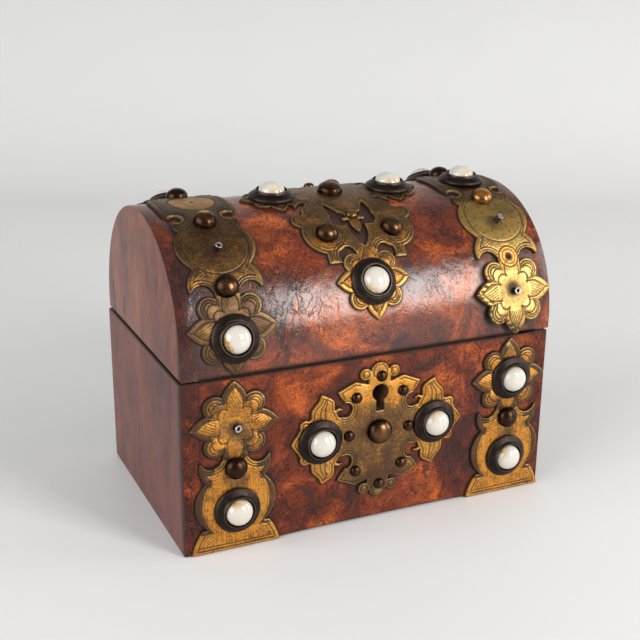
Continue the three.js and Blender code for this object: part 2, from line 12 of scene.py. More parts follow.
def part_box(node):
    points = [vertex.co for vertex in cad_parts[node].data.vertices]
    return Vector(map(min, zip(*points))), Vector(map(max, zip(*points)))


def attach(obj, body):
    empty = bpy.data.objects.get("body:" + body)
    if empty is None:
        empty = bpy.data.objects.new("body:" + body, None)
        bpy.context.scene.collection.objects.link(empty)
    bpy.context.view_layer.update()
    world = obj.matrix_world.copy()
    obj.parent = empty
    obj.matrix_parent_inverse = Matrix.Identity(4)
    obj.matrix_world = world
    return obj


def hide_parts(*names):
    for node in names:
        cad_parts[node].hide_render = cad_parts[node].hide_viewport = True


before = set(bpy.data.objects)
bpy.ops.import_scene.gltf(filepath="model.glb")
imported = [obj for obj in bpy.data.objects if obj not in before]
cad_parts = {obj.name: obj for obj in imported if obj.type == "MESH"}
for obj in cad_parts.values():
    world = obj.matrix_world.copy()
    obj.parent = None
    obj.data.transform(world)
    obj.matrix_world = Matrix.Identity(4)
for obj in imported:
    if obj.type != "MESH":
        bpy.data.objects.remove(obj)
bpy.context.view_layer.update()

bl_info = {
    "name": "Keepsake Box",
    "version": (1, 0, 0),
    "blender": (4, 5, 0),
    "location": "3D View > Sidebar > Keepsake",
    "description": "Dresses a dome-lidded keepsake box in burr walnut, engraved brass and white cabochons",
    "category": "Object",
}

MM = 0.001

# Woodwork, in millimetres, read from the frame
LEFT_END_LOW, LEFT_END_HIGH = (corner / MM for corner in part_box("base_left_end"))
LID_END_LOW, LID_END_HIGH = (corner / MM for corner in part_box("lid_left_end"))
WALL = LEFT_END_HIGH.x - LEFT_END_LOW.x
HALF_LENGTH = -LEFT_END_LOW.x
HALF_DEPTH = LEFT_END_HIGH.y
BASE_HEIGHT = LEFT_END_HIGH.z
INNER_HALF = HALF_LENGTH - WALL
LID_BOTTOM = LID_END_LOW.z
LID_TOP = LID_END_HIGH.z
LID_SHIFT = LID_END_LOW.x + HALF_LENGTH
LID_RIM_HEIGHT = 3.2
DOME_SPRING = LID_BOTTOM + LID_RIM_HEIGHT

# Brass mounts: flowers, straps, centre plate and lock plate
STRAP_X = (-55.6, 57.7)
CENTRE_X = 1.2
BASE_FLOWER_Z = 48.8
BASE_FOOT_Z = 0.3
LID_FLOWER_S = 16.8
LID_CREST_S = 75.3
CENTRE_FLOWER_S = 27.5
CENTRE_CREST_S = 74.0
LOCK_Z = 36.6
FLOWER_TIP = 16.6
FLOWER_HEART = 9.6
POINTED_HALF_WIDTH = 4.8
POINTED_WAIST = 9.2
ROUND_PETAL = 4.4
ROUND_PETAL_OFFSET = 7.3
CENTRE_FLOWER_SCALE = 0.89
ARM_FLOWER_SCALE = 0.76
ARM_X = 24.2
LOCK_ARM_X = 23.7
PLATE_TOP = 1.3
PLATE_FOOT = -0.1
CUP_FLOOR = 1.3

# Inside a mount: u from its middle line, v from its flower's middle, s up the lid's front
NECK_HALF_WIDTH = 4.6
STRAP_NOTCH = (8.8, 11.4)
STRAP_BODY_V = 30
BASE_BODY = (15.4, 13)      # half width and half length of the strap's round body
LID_BODY = (14.6, 12.2)
LID_EYE = (9.9, 45)
BARE_PATCH = (0.6, 75.3)
LOST_STUD_S = 29.8
CENTRE_NOTCH = (7.8, 9.7)
CENTRE_LOBE = (13.6, 19.6)
CENTRE_SCROLL = (20.4, 32)
LOCK_SCROLL = (13.75, 10.4)
CROWN_TOP = (0, 23.4)
CROWN_SIDE = (5.8, 23)
CENTRE_STUD = (13.2, 46.8)
OPENING_STUD_S = 54.7
SMALL_STUD_HEIGHT = 1.8

KEYHOLE_X = 1.5
KEYHOLE_Z = 51.7
KEYHOLE_RADIUS = 3.15
KEYHOLE_SLOT = 2.9
KEYHOLE_FOOT_Z = 44.8
HINGE_X = 45.0
HINGE_WIDTH = 16.0
HINGE_BARREL = 1.8
HINGE_Y = 49.0
HINGE_Z = 66.4
HINGE_LEAF_RISE = 1.15
HINGE_LEAF_DEPTH = 5.5
HINGE_LEAF_HALF = 0.45

# The photograph's viewing angle in degrees, and the camera's place in metres
VIEW_AZIMUTH, VIEW_ELEVATION, VIEW_ROLL = -24.744, 18.589, 0.538
CAMERA_PLACE = (-0.1775, -0.3825, 0.2070)


# The lid's cross-section

def lid_section(fullness=2.1, samples=2400):
    """Length along the section, place and outward direction, from the front's lower edge to the back's."""
    angle = np.linspace(0, math.pi, samples)
    across = np.sign(np.cos(angle)) * np.abs(np.cos(angle)) ** (2 / fullness)
    up = np.clip(np.sin(angle), 0, None) ** (2 / fullness)
    y = np.concatenate([[-HALF_DEPTH], -HALF_DEPTH * across, [HALF_DEPTH]])
    z = np.concatenate([[LID_BOTTOM], DOME_SPRING + (LID_TOP - DOME_SPRING) * up, [LID_BOTTOM]])
    length = np.concatenate([[0], np.cumsum(np.hypot(np.diff(y), np.diff(z)))])
    even = np.linspace(0, length[-1], samples // 2)
    even_y, even_z = np.interp(even, length, y), np.interp(even, length, z)
    run_y, run_z = np.gradient(even_y, even), np.gradient(even_z, even)
    size = np.hypot(run_y, run_z)
    return even, even_y, even_z, -run_z / size, run_y / size


SECTION = lid_section()
SECTION_LENGTH = SECTION[0][-1]


def on_front(x, z, h):
    """Place on the base's front, h out from the wood."""
    x, z, h = np.broadcast_arrays(x, z, h)
    return np.stack([x, -HALF_DEPTH - h, z], -1).astype(float)


def on_lid(x, s, h):
    """Place on the lid, s up its front and over, h out from the wood."""
    x, s, h = np.broadcast_arrays(x, s, h)
    along, y, z, out_y, out_z = SECTION
    ny, nz = np.interp(s, along, out_y), np.interp(s, along, out_z)
    return np.stack([x + LID_SHIFT, np.interp(s, along, y) + h * ny, np.interp(s, along, z) + h * nz], -1)


def seat_on(surface, x, v, h, lean_x=0.0, lean_v=0.0):
    """Matrix that stands a turned piece on a surface, its axis along the surface's outward direction."""
    origin = Vector(surface(x, v, 0))
    out = (Vector(surface(x, v, 1)) - origin).normalized()
    side = Vector((1, 0, 0))
    up = out.cross(side)
    turn = Matrix((side, up, out)).transposed().to_4x4()
    tilt = Matrix.Rotation(lean_x, 4, "Y") @ Matrix.Rotation(-lean_v, 4, "X")
    return Matrix.Translation(origin + out * h) @ turn @ tilt


# Outlines of the mounts, negative inside

def above(value):
    return np.maximum(0, value)


def unit(value):
    return np.clip(value, 0, 1)


def least(*shapes):
    return np.minimum.reduce(np.broadcast_arrays(*shapes))


def most(*shapes):
    return np.maximum.reduce(np.broadcast_arrays(*shapes))


def apart(u, v, middle):
    return np.hypot(u - middle[0], v - middle[1])


def circle(u, v, cu, cv, radius):
    return np.hypot(u - cu, v - cv) - radius


def ellipse(u, v, cv, a, b):
    return (np.hypot(u / a, (v - cv) / b) - 1) * b


def block(u, v, half_width, low, high):
    return np.maximum(np.abs(u) - half_width, np.maximum(low - v, v - high))


def capsule(u, v, start, end, radius):
    du, dv = end[0] - start[0], end[1] - start[1]
    part = unit(((u - start[0]) * du + (v - start[1]) * dv) / (du * du + dv * dv))
    return np.hypot(u - start[0] - part * du, v - start[1] - part * dv) - radius


def pointed_petal(along, across, tip, waist, half_width):
    part = above((along - waist) / (tip - waist))
    return np.where(along < 0, np.hypot(along, across), np.abs(across) - half_width * (1 - part ** 2))


def pointed_petals(a, b):
    sizes = (FLOWER_TIP, POINTED_WAIST, POINTED_HALF_WIDTH)
    return least(pointed_petal(a, b, *sizes), pointed_petal(b, a, *sizes))


def flower(u, v, scale=1.0):
    a, b = np.abs(u) / scale, np.abs(v) / scale
    return scale * least(np.hypot(a, b) - FLOWER_HEART, pointed_petals(a, b),
                         circle(a, b, ROUND_PETAL_OFFSET, ROUND_PETAL_OFFSET, ROUND_PETAL))


def strap_head(u, v, body):
    side = np.abs(u)
    horns = most(ellipse(side, v, 15.2, 13.6, 10.5), 13 - v, -circle(side, v, *STRAP_NOTCH, 4.1))
    return least(flower(u, v), block(u, v, NECK_HALF_WIDTH, 6, 22), horns, ellipse(u, v, STRAP_BODY_V, *body))


def down_lid_strap(s):
    """Distance from the flower's middle towards the crest, the same on both halves of the strap."""
    return LID_CREST_S - LID_FLOWER_S - np.abs(s - LID_CREST_S)


def lid_strap(u, s):
    crest = LID_CREST_S - LID_FLOWER_S
    side, v = np.abs(u), down_lid_strap(s)
    square = 14 * (((side / 14.2) ** 4 + ((v - crest) / 14.5) ** 4) ** 0.25 - 1)
    scrolls = least(block(u, v, 8.8, 38, 46), circle(side, v, 8.8, 41, 3.6))
    eye = least(circle(side, v, *LID_EYE, 2.1), most(LID_EYE[0] - side, np.abs(v - LID_EYE[1]) - 0.8))
    return most(least(strap_head(u, v, LID_BODY), scrolls, square), -eye)


def base_strap(u, z):
    v = BASE_FLOWER_Z - z
    foot = BASE_FLOWER_Z - BASE_FOOT_Z
    flare = 12.6 + 4.2 * (1 - above((foot - v) / 9.5) ** 1.6)
    return least(strap_head(u, v, BASE_BODY), most(np.abs(u) - flare, foot - 9.3 - v, v - foot))


def down_centre(s):
    return CENTRE_CREST_S - CENTRE_FLOWER_S - np.abs(s - CENTRE_CREST_S)


def centre_opening(side, v):
    """The pierced trefoil with its two horns, and the leaf left standing in it."""
    pierced = least(circle(side, v, 5.4, 26, 3.6), block(side, v, 3.4, 19.5, 27),
                    pointed_petal(v - 27.5, side - 6.2 - 0.23 * (v - 27.5), 7.8, 0, 2.1),
                    pointed_petal(20.3 - v, side, 7.3, 0.4, 3.3))
    leaf = least(block(side, v, 2.1, 23, 33), pointed_petal(24 - v, side, 5.4, 0.6, 2.1),
                 capsule(side, v, (1.5, 26.0), (3.9, 25.6), 0.8))
    return most(pierced, -leaf)


def centre_plate(u, s):
    crest = CENTRE_CREST_S - CENTRE_FLOWER_S
    side, v = np.abs(u), down_centre(s)
    solid = least(
        flower(u, v, CENTRE_FLOWER_SCALE), flower(side - ARM_X, v - crest, ARM_FLOWER_SCALE),
        block(u, v, 4.1, 6, 15), block(u, v, 9, 13, 21), block(u, v, 19.6, 20, crest + 1),
        most(block(u, v, 15.6, 7, 14), -circle(side, v, *CENTRE_NOTCH, 3.5)),
        circle(side, v, *CENTRE_LOBE, 8.7), circle(side, v, 20.5, 27, 3.7),
    )
    scroll = least(circle(side, v, *CENTRE_SCROLL, 2.2), capsule(side, v, CENTRE_SCROLL, (26, 32), 1),
                   capsule(side, v, CENTRE_SCROLL, (15.6, 37.5), 1.1))
    return most(solid, -scroll, -centre_opening(side, v))


def keyhole(x, z):
    return least(circle(x, z, KEYHOLE_X, KEYHOLE_Z, KEYHOLE_RADIUS),
                 block(x - KEYHOLE_X, z, KEYHOLE_SLOT / 2, KEYHOLE_FOOT_Z, KEYHOLE_Z))


def wing_middle(v):
    """Middle line of the lock plate's flame-like leaf: it sways inwards, then out at the tip."""
    return 22.8 - 1.1 * np.exp(-((v - 15) / 2) ** 2) + 0.35 * above(v - 16.2)


def lock_plate(u, z):
    side, v = np.abs(u), np.abs(z - LOCK_Z)
    ribbon = most(v - 20.8 + above(side - 10) * 0.43 + above(10 - side) * 0.3,
                  side - 14 - above(v - 12.4) * 0.6)
    crown = least(circle(side, v, *CROWN_SIDE, 2.35), circle(side, v, *CROWN_TOP, 3.7),
                  block(side, v, 4.6, 15, 23))
    arm = least(circle(side, v, LOCK_ARM_X, 0, 9.8), circle(side, v, 29.8, 6.7, 2.2),
                pointed_petal(side - LOCK_ARM_X, v, 11.8, 7.5, 4.2),
                pointed_petal(v - 4, side - wing_middle(v), 13.9, 7, 4.7),
                capsule(side, v, (17.6, 6.6), (18.8, 9), 1.7))
    solid = least(ribbon, crown, arm, block(side, v, 16.5, -1, 8))
    scroll = least(circle(side, v, *LOCK_SCROLL, 2.6), capsule(side, v, LOCK_SCROLL, (16.4, 13.6), 1.5))
    tendril = least(capsule(side, v, (18.4, 10.2), (16.4, 11.1), 0.6),
                    capsule(side, v, (16.4, 11.1), (15.2, 10.7), 0.4))
    return most(least(most(solid, -scroll), tendril), -keyhole(u + CENTRE_X, z))


# Chasing: what the graver and the years did to each mount, with painted highlights on its lit rims.
# A chase gives the swelling in mm, the cut (0 to 1), the age (0 bright, 1 dark bronze), and the worn places
# together with painted highlights and glints.

def line(distance, width=0.27):
    return np.exp(-(distance / width) ** 2)


def stripes(along, pitch, width=0.17):
    return line((np.mod(along / pitch, 1) - 0.5) * pitch, width)


def spot(u, v, cu, cv, radius):
    return unit(1.5 - 1.5 * np.hypot(u - cu, v - cv) / radius)


def stains(u, v, places):
    return sum(amount * spot(u, v, *place) for *place, amount in places)


def rounded_edge(edge):
    """The sheet's top falls away over the last half millimetre."""
    return -0.4 * unit(1 - edge / 0.55) ** 2 - 0.22 * unit(1 - edge / 2.3)


def flower_work(u, v, scale=1.0):
    """Swelling, cut lines and darker margins of an eight-petalled flower."""
    u, v = u / scale, v / scale
    a, b, radius = np.abs(u), np.abs(v), np.hypot(u, v)
    lobe = apart(a, b, (ROUND_PETAL_OFFSET, ROUND_PETAL_OFFSET))
    outward = (a + b > 13.2) & (lobe < ROUND_PETAL)
    cuts = [outward * line(lobe - ring) for ring in (3.25, 2.3)]
    margins = [outward * unit((lobe - 3.2) / 0.4)]
    swell = 0.42 * unit(1 - (lobe / 3.4) ** 2) - 0.1 * unit(1 - radius / 6)
    for along, across in ((b, u), (a, v)):
        there = (along > 5.6) & (np.abs(across) < POINTED_HALF_WIDTH)
        inner = np.abs(across) - 3.1 * (1 - unit((along - 8.2) / 5.9) ** 2)
        ribs = stripes(0.42 * along + 0.9 * across, 0.95) * (inner < -0.45) * (along > 7.4)
        cuts += [there * (along < 15.6) * line(inner), 0.7 * there * ribs]
        margins.append((along > 8.5) * unit(inner / 0.4) * there)
        swell = swell + 0.4 * unit(-inner / 2.4) * unit((along - 4.5) / 3)
    for middle, reach in ((5.9, 2.9), (4.1, 2.4)):
        arc = apart(a, b, (middle, middle))
        cuts.append((a + b > 2 * middle) * (arc < 3.6) * (lobe < 5.6) * line(arc - reach))
    between = pointed_petals(a, b) - (lobe - ROUND_PETAL)
    strokes = stripes(np.arctan2(v, u) + 0.05 * np.sin(3 * radius), math.pi / 22, 0.045)
    cuts += [(radius > 7.2) * line(between, 0.28), 0.4 * strokes * (radius > 3.4) * (radius < 6.3)]
    return swell, most(*cuts), most(*margins)


def strap_work(u, v, edge, body):
    side, notch = np.abs(u), apart(np.abs(u), v, STRAP_NOTCH)
    swell, cut, margin = (part * (flower(u, v) < 0.2) for part in flower_work(u, v))
    on_horn = (v > 13) & (v < 22.5) & (side > 8)
    hatched = (side > 6.4) & (v > 15.2) & (v < 21.8) & (edge > 1.5)
    on_body = (np.abs(v - STRAP_BODY_V) < body[1] - 2.4) & (v > 19)
    inner = ellipse(u, v, STRAP_BODY_V, body[0] - 2.5, body[1] + 1.2)
    cuts = [(v > 11.8) * (side < 11) * line(notch - ring) for ring in (5.0, 6.0)]
    cuts += [0.65 * hatched * stripes(0.55 * side + 0.84 * v, 0.95), on_horn * line(edge - 2.1),
             on_body * line(inner), 0.6 * on_body * line(inner + 1, 0.18)]
    margin = most(margin, on_body * unit(inner / 0.4), on_horn * unit(2.3 - edge))
    return swell + (v > 11) * 0.18 * line(notch - 4.5, 0.5), most(cut, *cuts), margin


# Darker (+) and brighter (-) places of a mount: u, height or length up the lid, radius, amount
BASE_STAINS = {
    "left": ((3.4, 44.3, 6.5, 0.42), (-8, 58, 5, 0.3), (0, 47.8, 3.6, 0.55), (0, 27.3, 6, 0.35)),
    "right": ((0, 59, 9, 0.2), (10, 30, 5, 0.25), (0, 27.3, 6, 0.35)),
}
# Painted glints on the base straps' flowers: u, height, radius.
BASE_GLINTS = {"left": (10.4, 57.6, 1.7), "right": (-0.8, 62.7, 1.6)}
LEFT_LID_STAINS = ((3, 36, 16, -0.1), (-10, 33, 3.2, -0.5), (-9, 17, 3, -0.3), (-2.6, 44.6, 4.5, 0.2))


def chase_base_strap(side_name):
    def chase(u, z, edge):
        side, v = np.abs(u), BASE_FLOWER_Z - z
        swell, cut, margin = strap_work(u, v, edge, BASE_BODY)
        on_foot = v > 39.6
        corner = on_foot & (side > 7.2 + 0.5 * np.abs(z - 5)) & (z > 3.3) & (edge > 2.9)
        cut = most(cut, on_foot * (side > 5) * line(edge - 1.6, 0.22),
                   0.6 * on_foot * (side > 9) * line(edge - 2.7, 0.18),
                   *((side < 14.5) * line(z - bar) for bar in (1.6, 2.9)),
                   0.55 * corner * stripes(0.75 * side - 0.66 * z, 0.95))
        streak = np.sin(6.1 * u + 0.5 * np.sin(0.31 * z)) + np.sin(9.7 * u + 1.3 + 0.7 * np.sin(0.23 * z))
        age = 0.32 + 0.72 * margin + 0.1 * (v < 13) + 0.14 * np.clip(streak, 0, 2) * (v > 14) * (side < 13)
        # A painted glint on the flower, and a painted highlight along the rims on the right, lit side.
        rub = most(spot(u, z, *BASE_GLINTS[side_name]), 0.7 * line(edge - 0.32, 0.2) * (u > -2))
        return swell + rounded_edge(edge), cut, age + stains(u, z, BASE_STAINS[side_name]), rub
    return chase


def chase_lid_strap(side_name):
    def chase(u, s, edge):
        side, v = np.abs(u), down_lid_strap(s)
        front = s < LID_CREST_S
        swell, cut, margin = strap_work(u, v, edge, LID_BODY)
        eye, by_eye = apart(side, v, LID_EYE), v > 41
        on_crest = (v > 47) & (side > 6)
        cut = most(cut, line(ellipse(u, v, STRAP_BODY_V, 11.8, 11.2)) * (v > 18.5),
                   line(eye - 3.7, 0.22) * by_eye,
                   on_crest * most(line(edge - 2.0, 0.24), 0.6 * line(edge - 3.2)),
                   (v > 37) * (v < 47) * (side > 7.5) * line(edge - 1.1))
        swell = swell + 0.3 * line(eye - 2.7, 0.5) * by_eye + rounded_edge(edge)
        rub = 0.8 * line(eye - 2.6, 0.45) * by_eye
        if side_name == "left":
            patch = circle(u, s, *BARE_PATCH, 8.6)
            bare = unit(-patch / 0.5)
            age = 0.86 + 0.08 * (s < 32) + 0.1 * (s > 56) + 0.1 * margin * (u < 0) - 0.45 * bare
            age = age + stains(u, s, LEFT_LID_STAINS)
            # The bare patch is worn bright; the right, lit edges get a painted highlight.
            rub = most(rub * front, 0.38 * bare, 0.75 * unit(1 - edge / 1.6) * (u > 6) * (s < 52))
            cut = most(cut, 0.7 * line(patch, 0.35), unit(1.6 - 1.3 * np.hypot(u - 0.6, s - 75.5)),
                       0.24 * (s < 27))
        else:
            worn = 1 / (1 + np.exp(-(s - 55.5) / 0.5))
            stain = most(spot(u, s, 0.4, 17.4, 5), 0.8 * spot(u, s, -1.5, 44.2, 4.5),
                         0.5 * spot(u, s, 6, 50, 7), 0.7 * spot(u, s, 0, 2.5, 5))
            torn = (margin > 0) & (u < 1.5) & (s < 24) & (np.sin(2.1 * u + 1.7 * s) + np.sin(3.3 * s) > 0.1)
            cut = most(cut, 0.85 * torn, 0.8 * spot(u, s, -0.7, 17.8, 4.4), 0.4 * spot(u, s, -1.4, 43.9, 4))
            hole = np.hypot(u, s - LOST_STUD_S)
            around_hole = unit(1.5 - hole / 4.4)
            cut = most(cut * (hole > 4.5), unit(2.2 - 1.2 * hole), line(hole - 4.1),
                       0.7 * line(hole - 2.8, 0.2))
            swell = swell - 0.5 * unit(1.5 - hole)
            age = 0.5 + 0.4 * worn + 0.5 * stain - 0.25 * around_hole
            shine = (0.95 - 0.04 * (s > 36) - 0.25 * margin) * (1 - worn) * (1 - 0.85 * stain)
            rub = most(shine, rub) * (1 - 0.6 * around_hole) * front
        return swell, cut, np.where(s < LID_CREST_S + 9, age, 0.8), rub
    return chase


def chase_centre(u, s, edge):
    side, v = np.abs(u), down_centre(s)
    arm = (side - ARM_X, v - CENTRE_CREST_S + CENTRE_FLOWER_S, ARM_FLOWER_SCALE)
    on_flower, on_arm = flower(u, v, CENTRE_FLOWER_SCALE) < 0.2, flower(*arm) < 0.1
    swell, cut, _ = (part * on_flower for part in flower_work(u, v, CENTRE_FLOWER_SCALE))
    arm_swell, arm_cut, _ = (part * on_arm for part in flower_work(*arm))
    notch, lobe, opening = apart(side, v, CENTRE_NOTCH), apart(side, v, CENTRE_LOBE), centre_opening(side, v)
    on_lobe = (v > 12) & (v < 27) & ~on_flower & (edge > 0.5)
    ribbon = (side > 12) & (v > 24) & (v < 40)
    rays = (side < 7) & (v > 10.5) & (v < 17) & ~on_flower
    cuts = [(v > 8.6) * ~on_flower * line(notch - ring) for ring in (4.5, 5.5)]
    cuts += [depth * on_lobe * ((side > 12) | (v < 18)) * line(lobe - ring)
             for ring, depth in ((7.4, 0.9), (6.3, 0.8), (5.4, 0.5))]
    cuts += [0.8 * (side < 12) * line(opening - gap) for gap in (0.9, 1.9)]
    cuts += [ribbon * most(line(edge - 1.1), 0.5 * line(edge - 2.1, 0.18)),
             0.35 * rays * stripes(np.arctan2(u, 26 - v) * 26, 1.5, 0.16)]
    swell = most(swell, arm_swell) + 0.2 * line(notch - 4.0, 0.45) * ~on_flower
    swell = swell + 0.2 * line(opening - 0.5, 0.4)
    front = s < CENTRE_CREST_S
    age = 0.76 - 0.18 * (on_flower & front) - 0.12 * on_lobe
    # Rims of the flower, the plate and the opening are lighter: wear, with a painted highlight.
    rub = front * most(0.8 * on_flower * line(edge - 0.5, 0.45), 0.5 * line(edge - 0.35, 0.2),
                       0.45 * line(opening - 0.45, 0.4) * (side > 2))
    return swell + rounded_edge(edge), most(cut, arm_cut, *cuts), age, rub


def chase_lock(u, z, edge):
    side, v, low = np.abs(u), np.abs(z - LOCK_Z), LOCK_Z - z
    scroll, side_lobe = apart(side, v, LOCK_SCROLL), apart(side, v, CROWN_SIDE)
    by_scroll = (side < 15.5) & (v < 15)
    on_arm, on_middle, on_crown = side > 16.5, side < 17, v > 20.2
    leaf = on_arm & (v > 8)
    cuts = [depth * by_scroll * line(scroll - ring) for ring, depth in ((3.6, 1.0), (4.6, 0.85), (5.5, 0.4))]
    cuts += [leaf * (edge > 1.3) * line(side - wing_middle(v) - vein * unit((17 - v) / 6))
             for vein in (-0.7, 1.2)]
    cuts += [on_arm * most(line(edge - 1.15), 0.5 * line(edge - 2.2, 0.18)),
             0.5 * leaf * stripes(0.8 * side + 0.35 * v, 1.25) * (edge > 2.1),
             (v > 15) * (side > 8) * (side < 17.5) * line(edge - 1.1),
             (v > 21.5) * (side < 3.6) * line(apart(side, v, CROWN_TOP) - 2.8),
             on_crown * (side > 3.4) * line(side_lobe - 1.4),
             0.7 * (v > 24) * (side < 3) * stripes(np.arctan2(u, v - 20) * 5, 0.9)]
    swell = 0.25 * line(scroll - 3.1, 0.45) * by_scroll + 0.2 * on_crown * unit(1 - side_lobe / 2.5)
    middle = unit(2.6 - 1.9 * np.hypot(u / 16, (6 - low) / 17)) * on_middle
    age = 0.34 + 0.53 * middle - 0.08 * unit((-low - 8) / 6) + 0.16 * unit((low - 13) / 5) * on_middle
    # A bright spot, the worn arms, the scroll ring and the rims are lighter: wear, with a painted highlight on
    # the rims.
    rub = most(0.8 * spot(u, z, 0.4, 11.6, 2.2), 0.4 * on_arm * (low > 0) * unit(edge / 2 - 0.6),
               0.28 * line(edge - 0.45, 0.2), 0.5 * by_scroll * line(scroll - 3.0, 0.3))
    return swell + rounded_edge(edge), most(*cuts), age, unit(rub)


# Mesh making

def add_piece(name, points, faces, body, nodes=(), finishes=(), sharp=40.0, marks=None):
    """Adds a piece from points in millimetres, rides it on its body and hides the frame's nodes that it stands
    for.
    """
    mesh = bpy.data.meshes.new(name)
    mesh.from_pydata((np.asarray(points, float) * MM).tolist(), [], faces)
    for key, values in (marks or {}).items():
        mesh.attributes.new(key, "FLOAT", "POINT").data.foreach_set("value", np.asarray(values, np.float32))
    mesh.shade_smooth()
    mesh.set_sharp_from_angle(angle=math.radians(sharp))
    for one in finishes:
        mesh.materials.append(one)
    piece = bpy.data.objects.new(name, mesh)
    bpy.context.scene.collection.objects.link(piece)
    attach(piece, body)
    if nodes:
        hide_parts(*nodes)
    return piece


def cut_sheet(outline, across, along):
    """Cuts a grid along an outline: flat points, faces, and the rim's edges with the sheet on their left."""
    u, v = np.meshgrid(across, along)
    depth = outline(u, v)
    inside = depth < 0
    number = np.full(u.shape, -1)
    number[inside] = np.arange(inside.sum())
    points = [np.stack([u[inside], v[inside]], -1)]
    count = len(points[0])
    crossing = []
    for axis in (1, 0):
        first = (slice(None), slice(None, -1)) if axis else (slice(None, -1), slice(None))
        second = (slice(None), slice(1, None)) if axis else (slice(1, None), slice(None))
        cut = inside[first] != inside[second]
        part = np.clip(depth[first] / np.where(cut, depth[first] - depth[second], 1), 0.06, 0.94)[cut]
        u0, v0, u1, v1 = u[first][cut], v[first][cut], u[second][cut], v[second][cut]
        points.append(np.stack([u0 + part * (u1 - u0), v0 + part * (v1 - v0)], -1))
        ids = np.full(cut.shape, -1)
        ids[cut] = count + np.arange(cut.sum())
        count += int(cut.sum())
        crossing.append(ids)
    flat, upright = crossing
    corners = np.stack([number[:-1, :-1], number[:-1, 1:], number[1:, 1:], number[1:, :-1]], -1)
    held = (corners >= 0).sum(-1)
    faces = corners[held == 4].tolist()
    rim = []
    for j, i in np.argwhere((held > 0) & (held < 4)):
        cell = corners[j, i]
        sides = (flat[j, i], upright[j, i + 1], flat[j + 1, i], upright[j, i])
        ring, leaving, entering = [], [], []
        for k in range(4):
            if cell[k] >= 0:
                ring.append(int(cell[k]))
            if sides[k] >= 0:
                ring.append(int(sides[k]))
                (leaving if cell[k] >= 0 else entering).append(int(sides[k]))
        if len(ring) < 3:
            continue
        faces.append(ring)
        for out in leaving:
            after = ring[(ring.index(out) + 1) % len(ring)]
            if after in entering:
                rim.append((out, after))
    return np.concatenate(points), faces, rim


def edge_distance(points, rim):
    """How far each flat point lies from the rim."""
    tree = KDTree(2 * len(rim))
    for k, (a, b) in enumerate(rim):
        middle = (points[a] + points[b]) / 2
        tree.insert((points[a][0], points[a][1], 0), 2 * k)
        tree.insert((middle[0], middle[1], 0), 2 * k + 1)
    tree.balance()
    return np.array([tree.find((u, v, 0))[2] for u, v in points])


def engraved_plate(name, outline, chase, across, along, place, body, nodes):
    """One chased sheet-brass mount, laid on its surface by the place function."""
    brass = bpy.context.scene.keepsake_brass
    flat, faces, rim = cut_sheet(outline, across, along)
    edge = edge_distance(flat, rim)
    u, v = flat[:, 0], flat[:, 1]
    swell, cut, age, rub = chase(u, v, edge)
    top = place(u, v, PLATE_TOP + swell - brass.cut_depth / MM * cut)
    lip = sorted({k for pair in rim for k in pair})
    below = {k: len(flat) + n for n, k in enumerate(lip)}
    foot = place(u[lip], v[lip], PLATE_FOOT + 0 * u[lip])
    walls = [(b, a, below[a], below[b]) for a, b in rim]
    # The rim and the sheet's sides are darkened with soiling and painted shade; the flanks beside the cut lines
    # get a painted highlight with the wear.
    cut = most(cut, 0.85 * np.exp(-(edge / 0.27) ** 2))
    flank = 0.5 * np.exp(-((cut - 0.2) / 0.1) ** 2) * np.clip(1.5 - 1.3 * age, 0.25, 1)
    rub = most(rub, flank)
    marks = {
        "cut": np.concatenate([cut, np.full(len(lip), 1.0)]),
        "age": np.concatenate([age, age[lip] + 0.2]),
        "rub": np.concatenate([rub, rub[lip]]),
    }
    return add_piece(name, np.concatenate([top, foot]), faces + walls, body, nodes,
                     [finish("engraved_brass")], 50, marks)


def turned_mesh(profile, sides, matrix, wobble=0.0, seed=0):
    """Points and faces of a piece turned from (radius, height) pairs that start and end on the axis."""
    source = random.Random(seed)
    drift = [source.uniform(-1, 1) for _ in range(4)]
    points, rings = [], []
    for radius, height in profile:
        if radius < 1e-6:
            rings.append([len(points)])
            points.append(matrix @ Vector((0, 0, height)))
            continue
        rings.append(list(range(len(points), len(points) + sides)))
        for k in range(sides):
            angle = 2 * math.pi * k / sides
            uneven = drift[0] * math.cos(2 * angle + drift[1] * 3) + drift[2] * math.sin(3 * angle)
            reach = radius * (1 + wobble * uneven)
            points.append(matrix @ Vector((reach * math.cos(angle), reach * math.sin(angle), height)))
    faces = []
    for low, high in zip(rings, rings[1:]):
        for k in range(sides):
            n = (k + 1) % sides
            if len(low) == 1:
                faces.append((low[0], high[n], high[k]))
            elif len(high) == 1:
                faces.append((low[k], low[n], high[0]))
            else:
                faces.append((low[k], low[n], high[n], high[k]))
    return points, faces


def dome_profile(radius, height, rings=12, flange=0.12):
    """A low domed head on a short upright edge."""
    profile = [(0, 0), (radius, 0), (radius, height * flange)]
    for k in range(1, rings + 1):
        angle = math.pi / 2 * k / rings
        profile.append((radius * math.cos(angle) if k < rings else 0,
                        height * (flange + (1 - flange) * math.sin(angle))))
    return profile


def join_meshes(parts):
    points, faces = [], []
    for more_points, more_faces in parts:
        start = len(points)
        points.extend(more_points)
        faces.extend(tuple(k + start for k in face) for face in more_faces)
    return points, faces


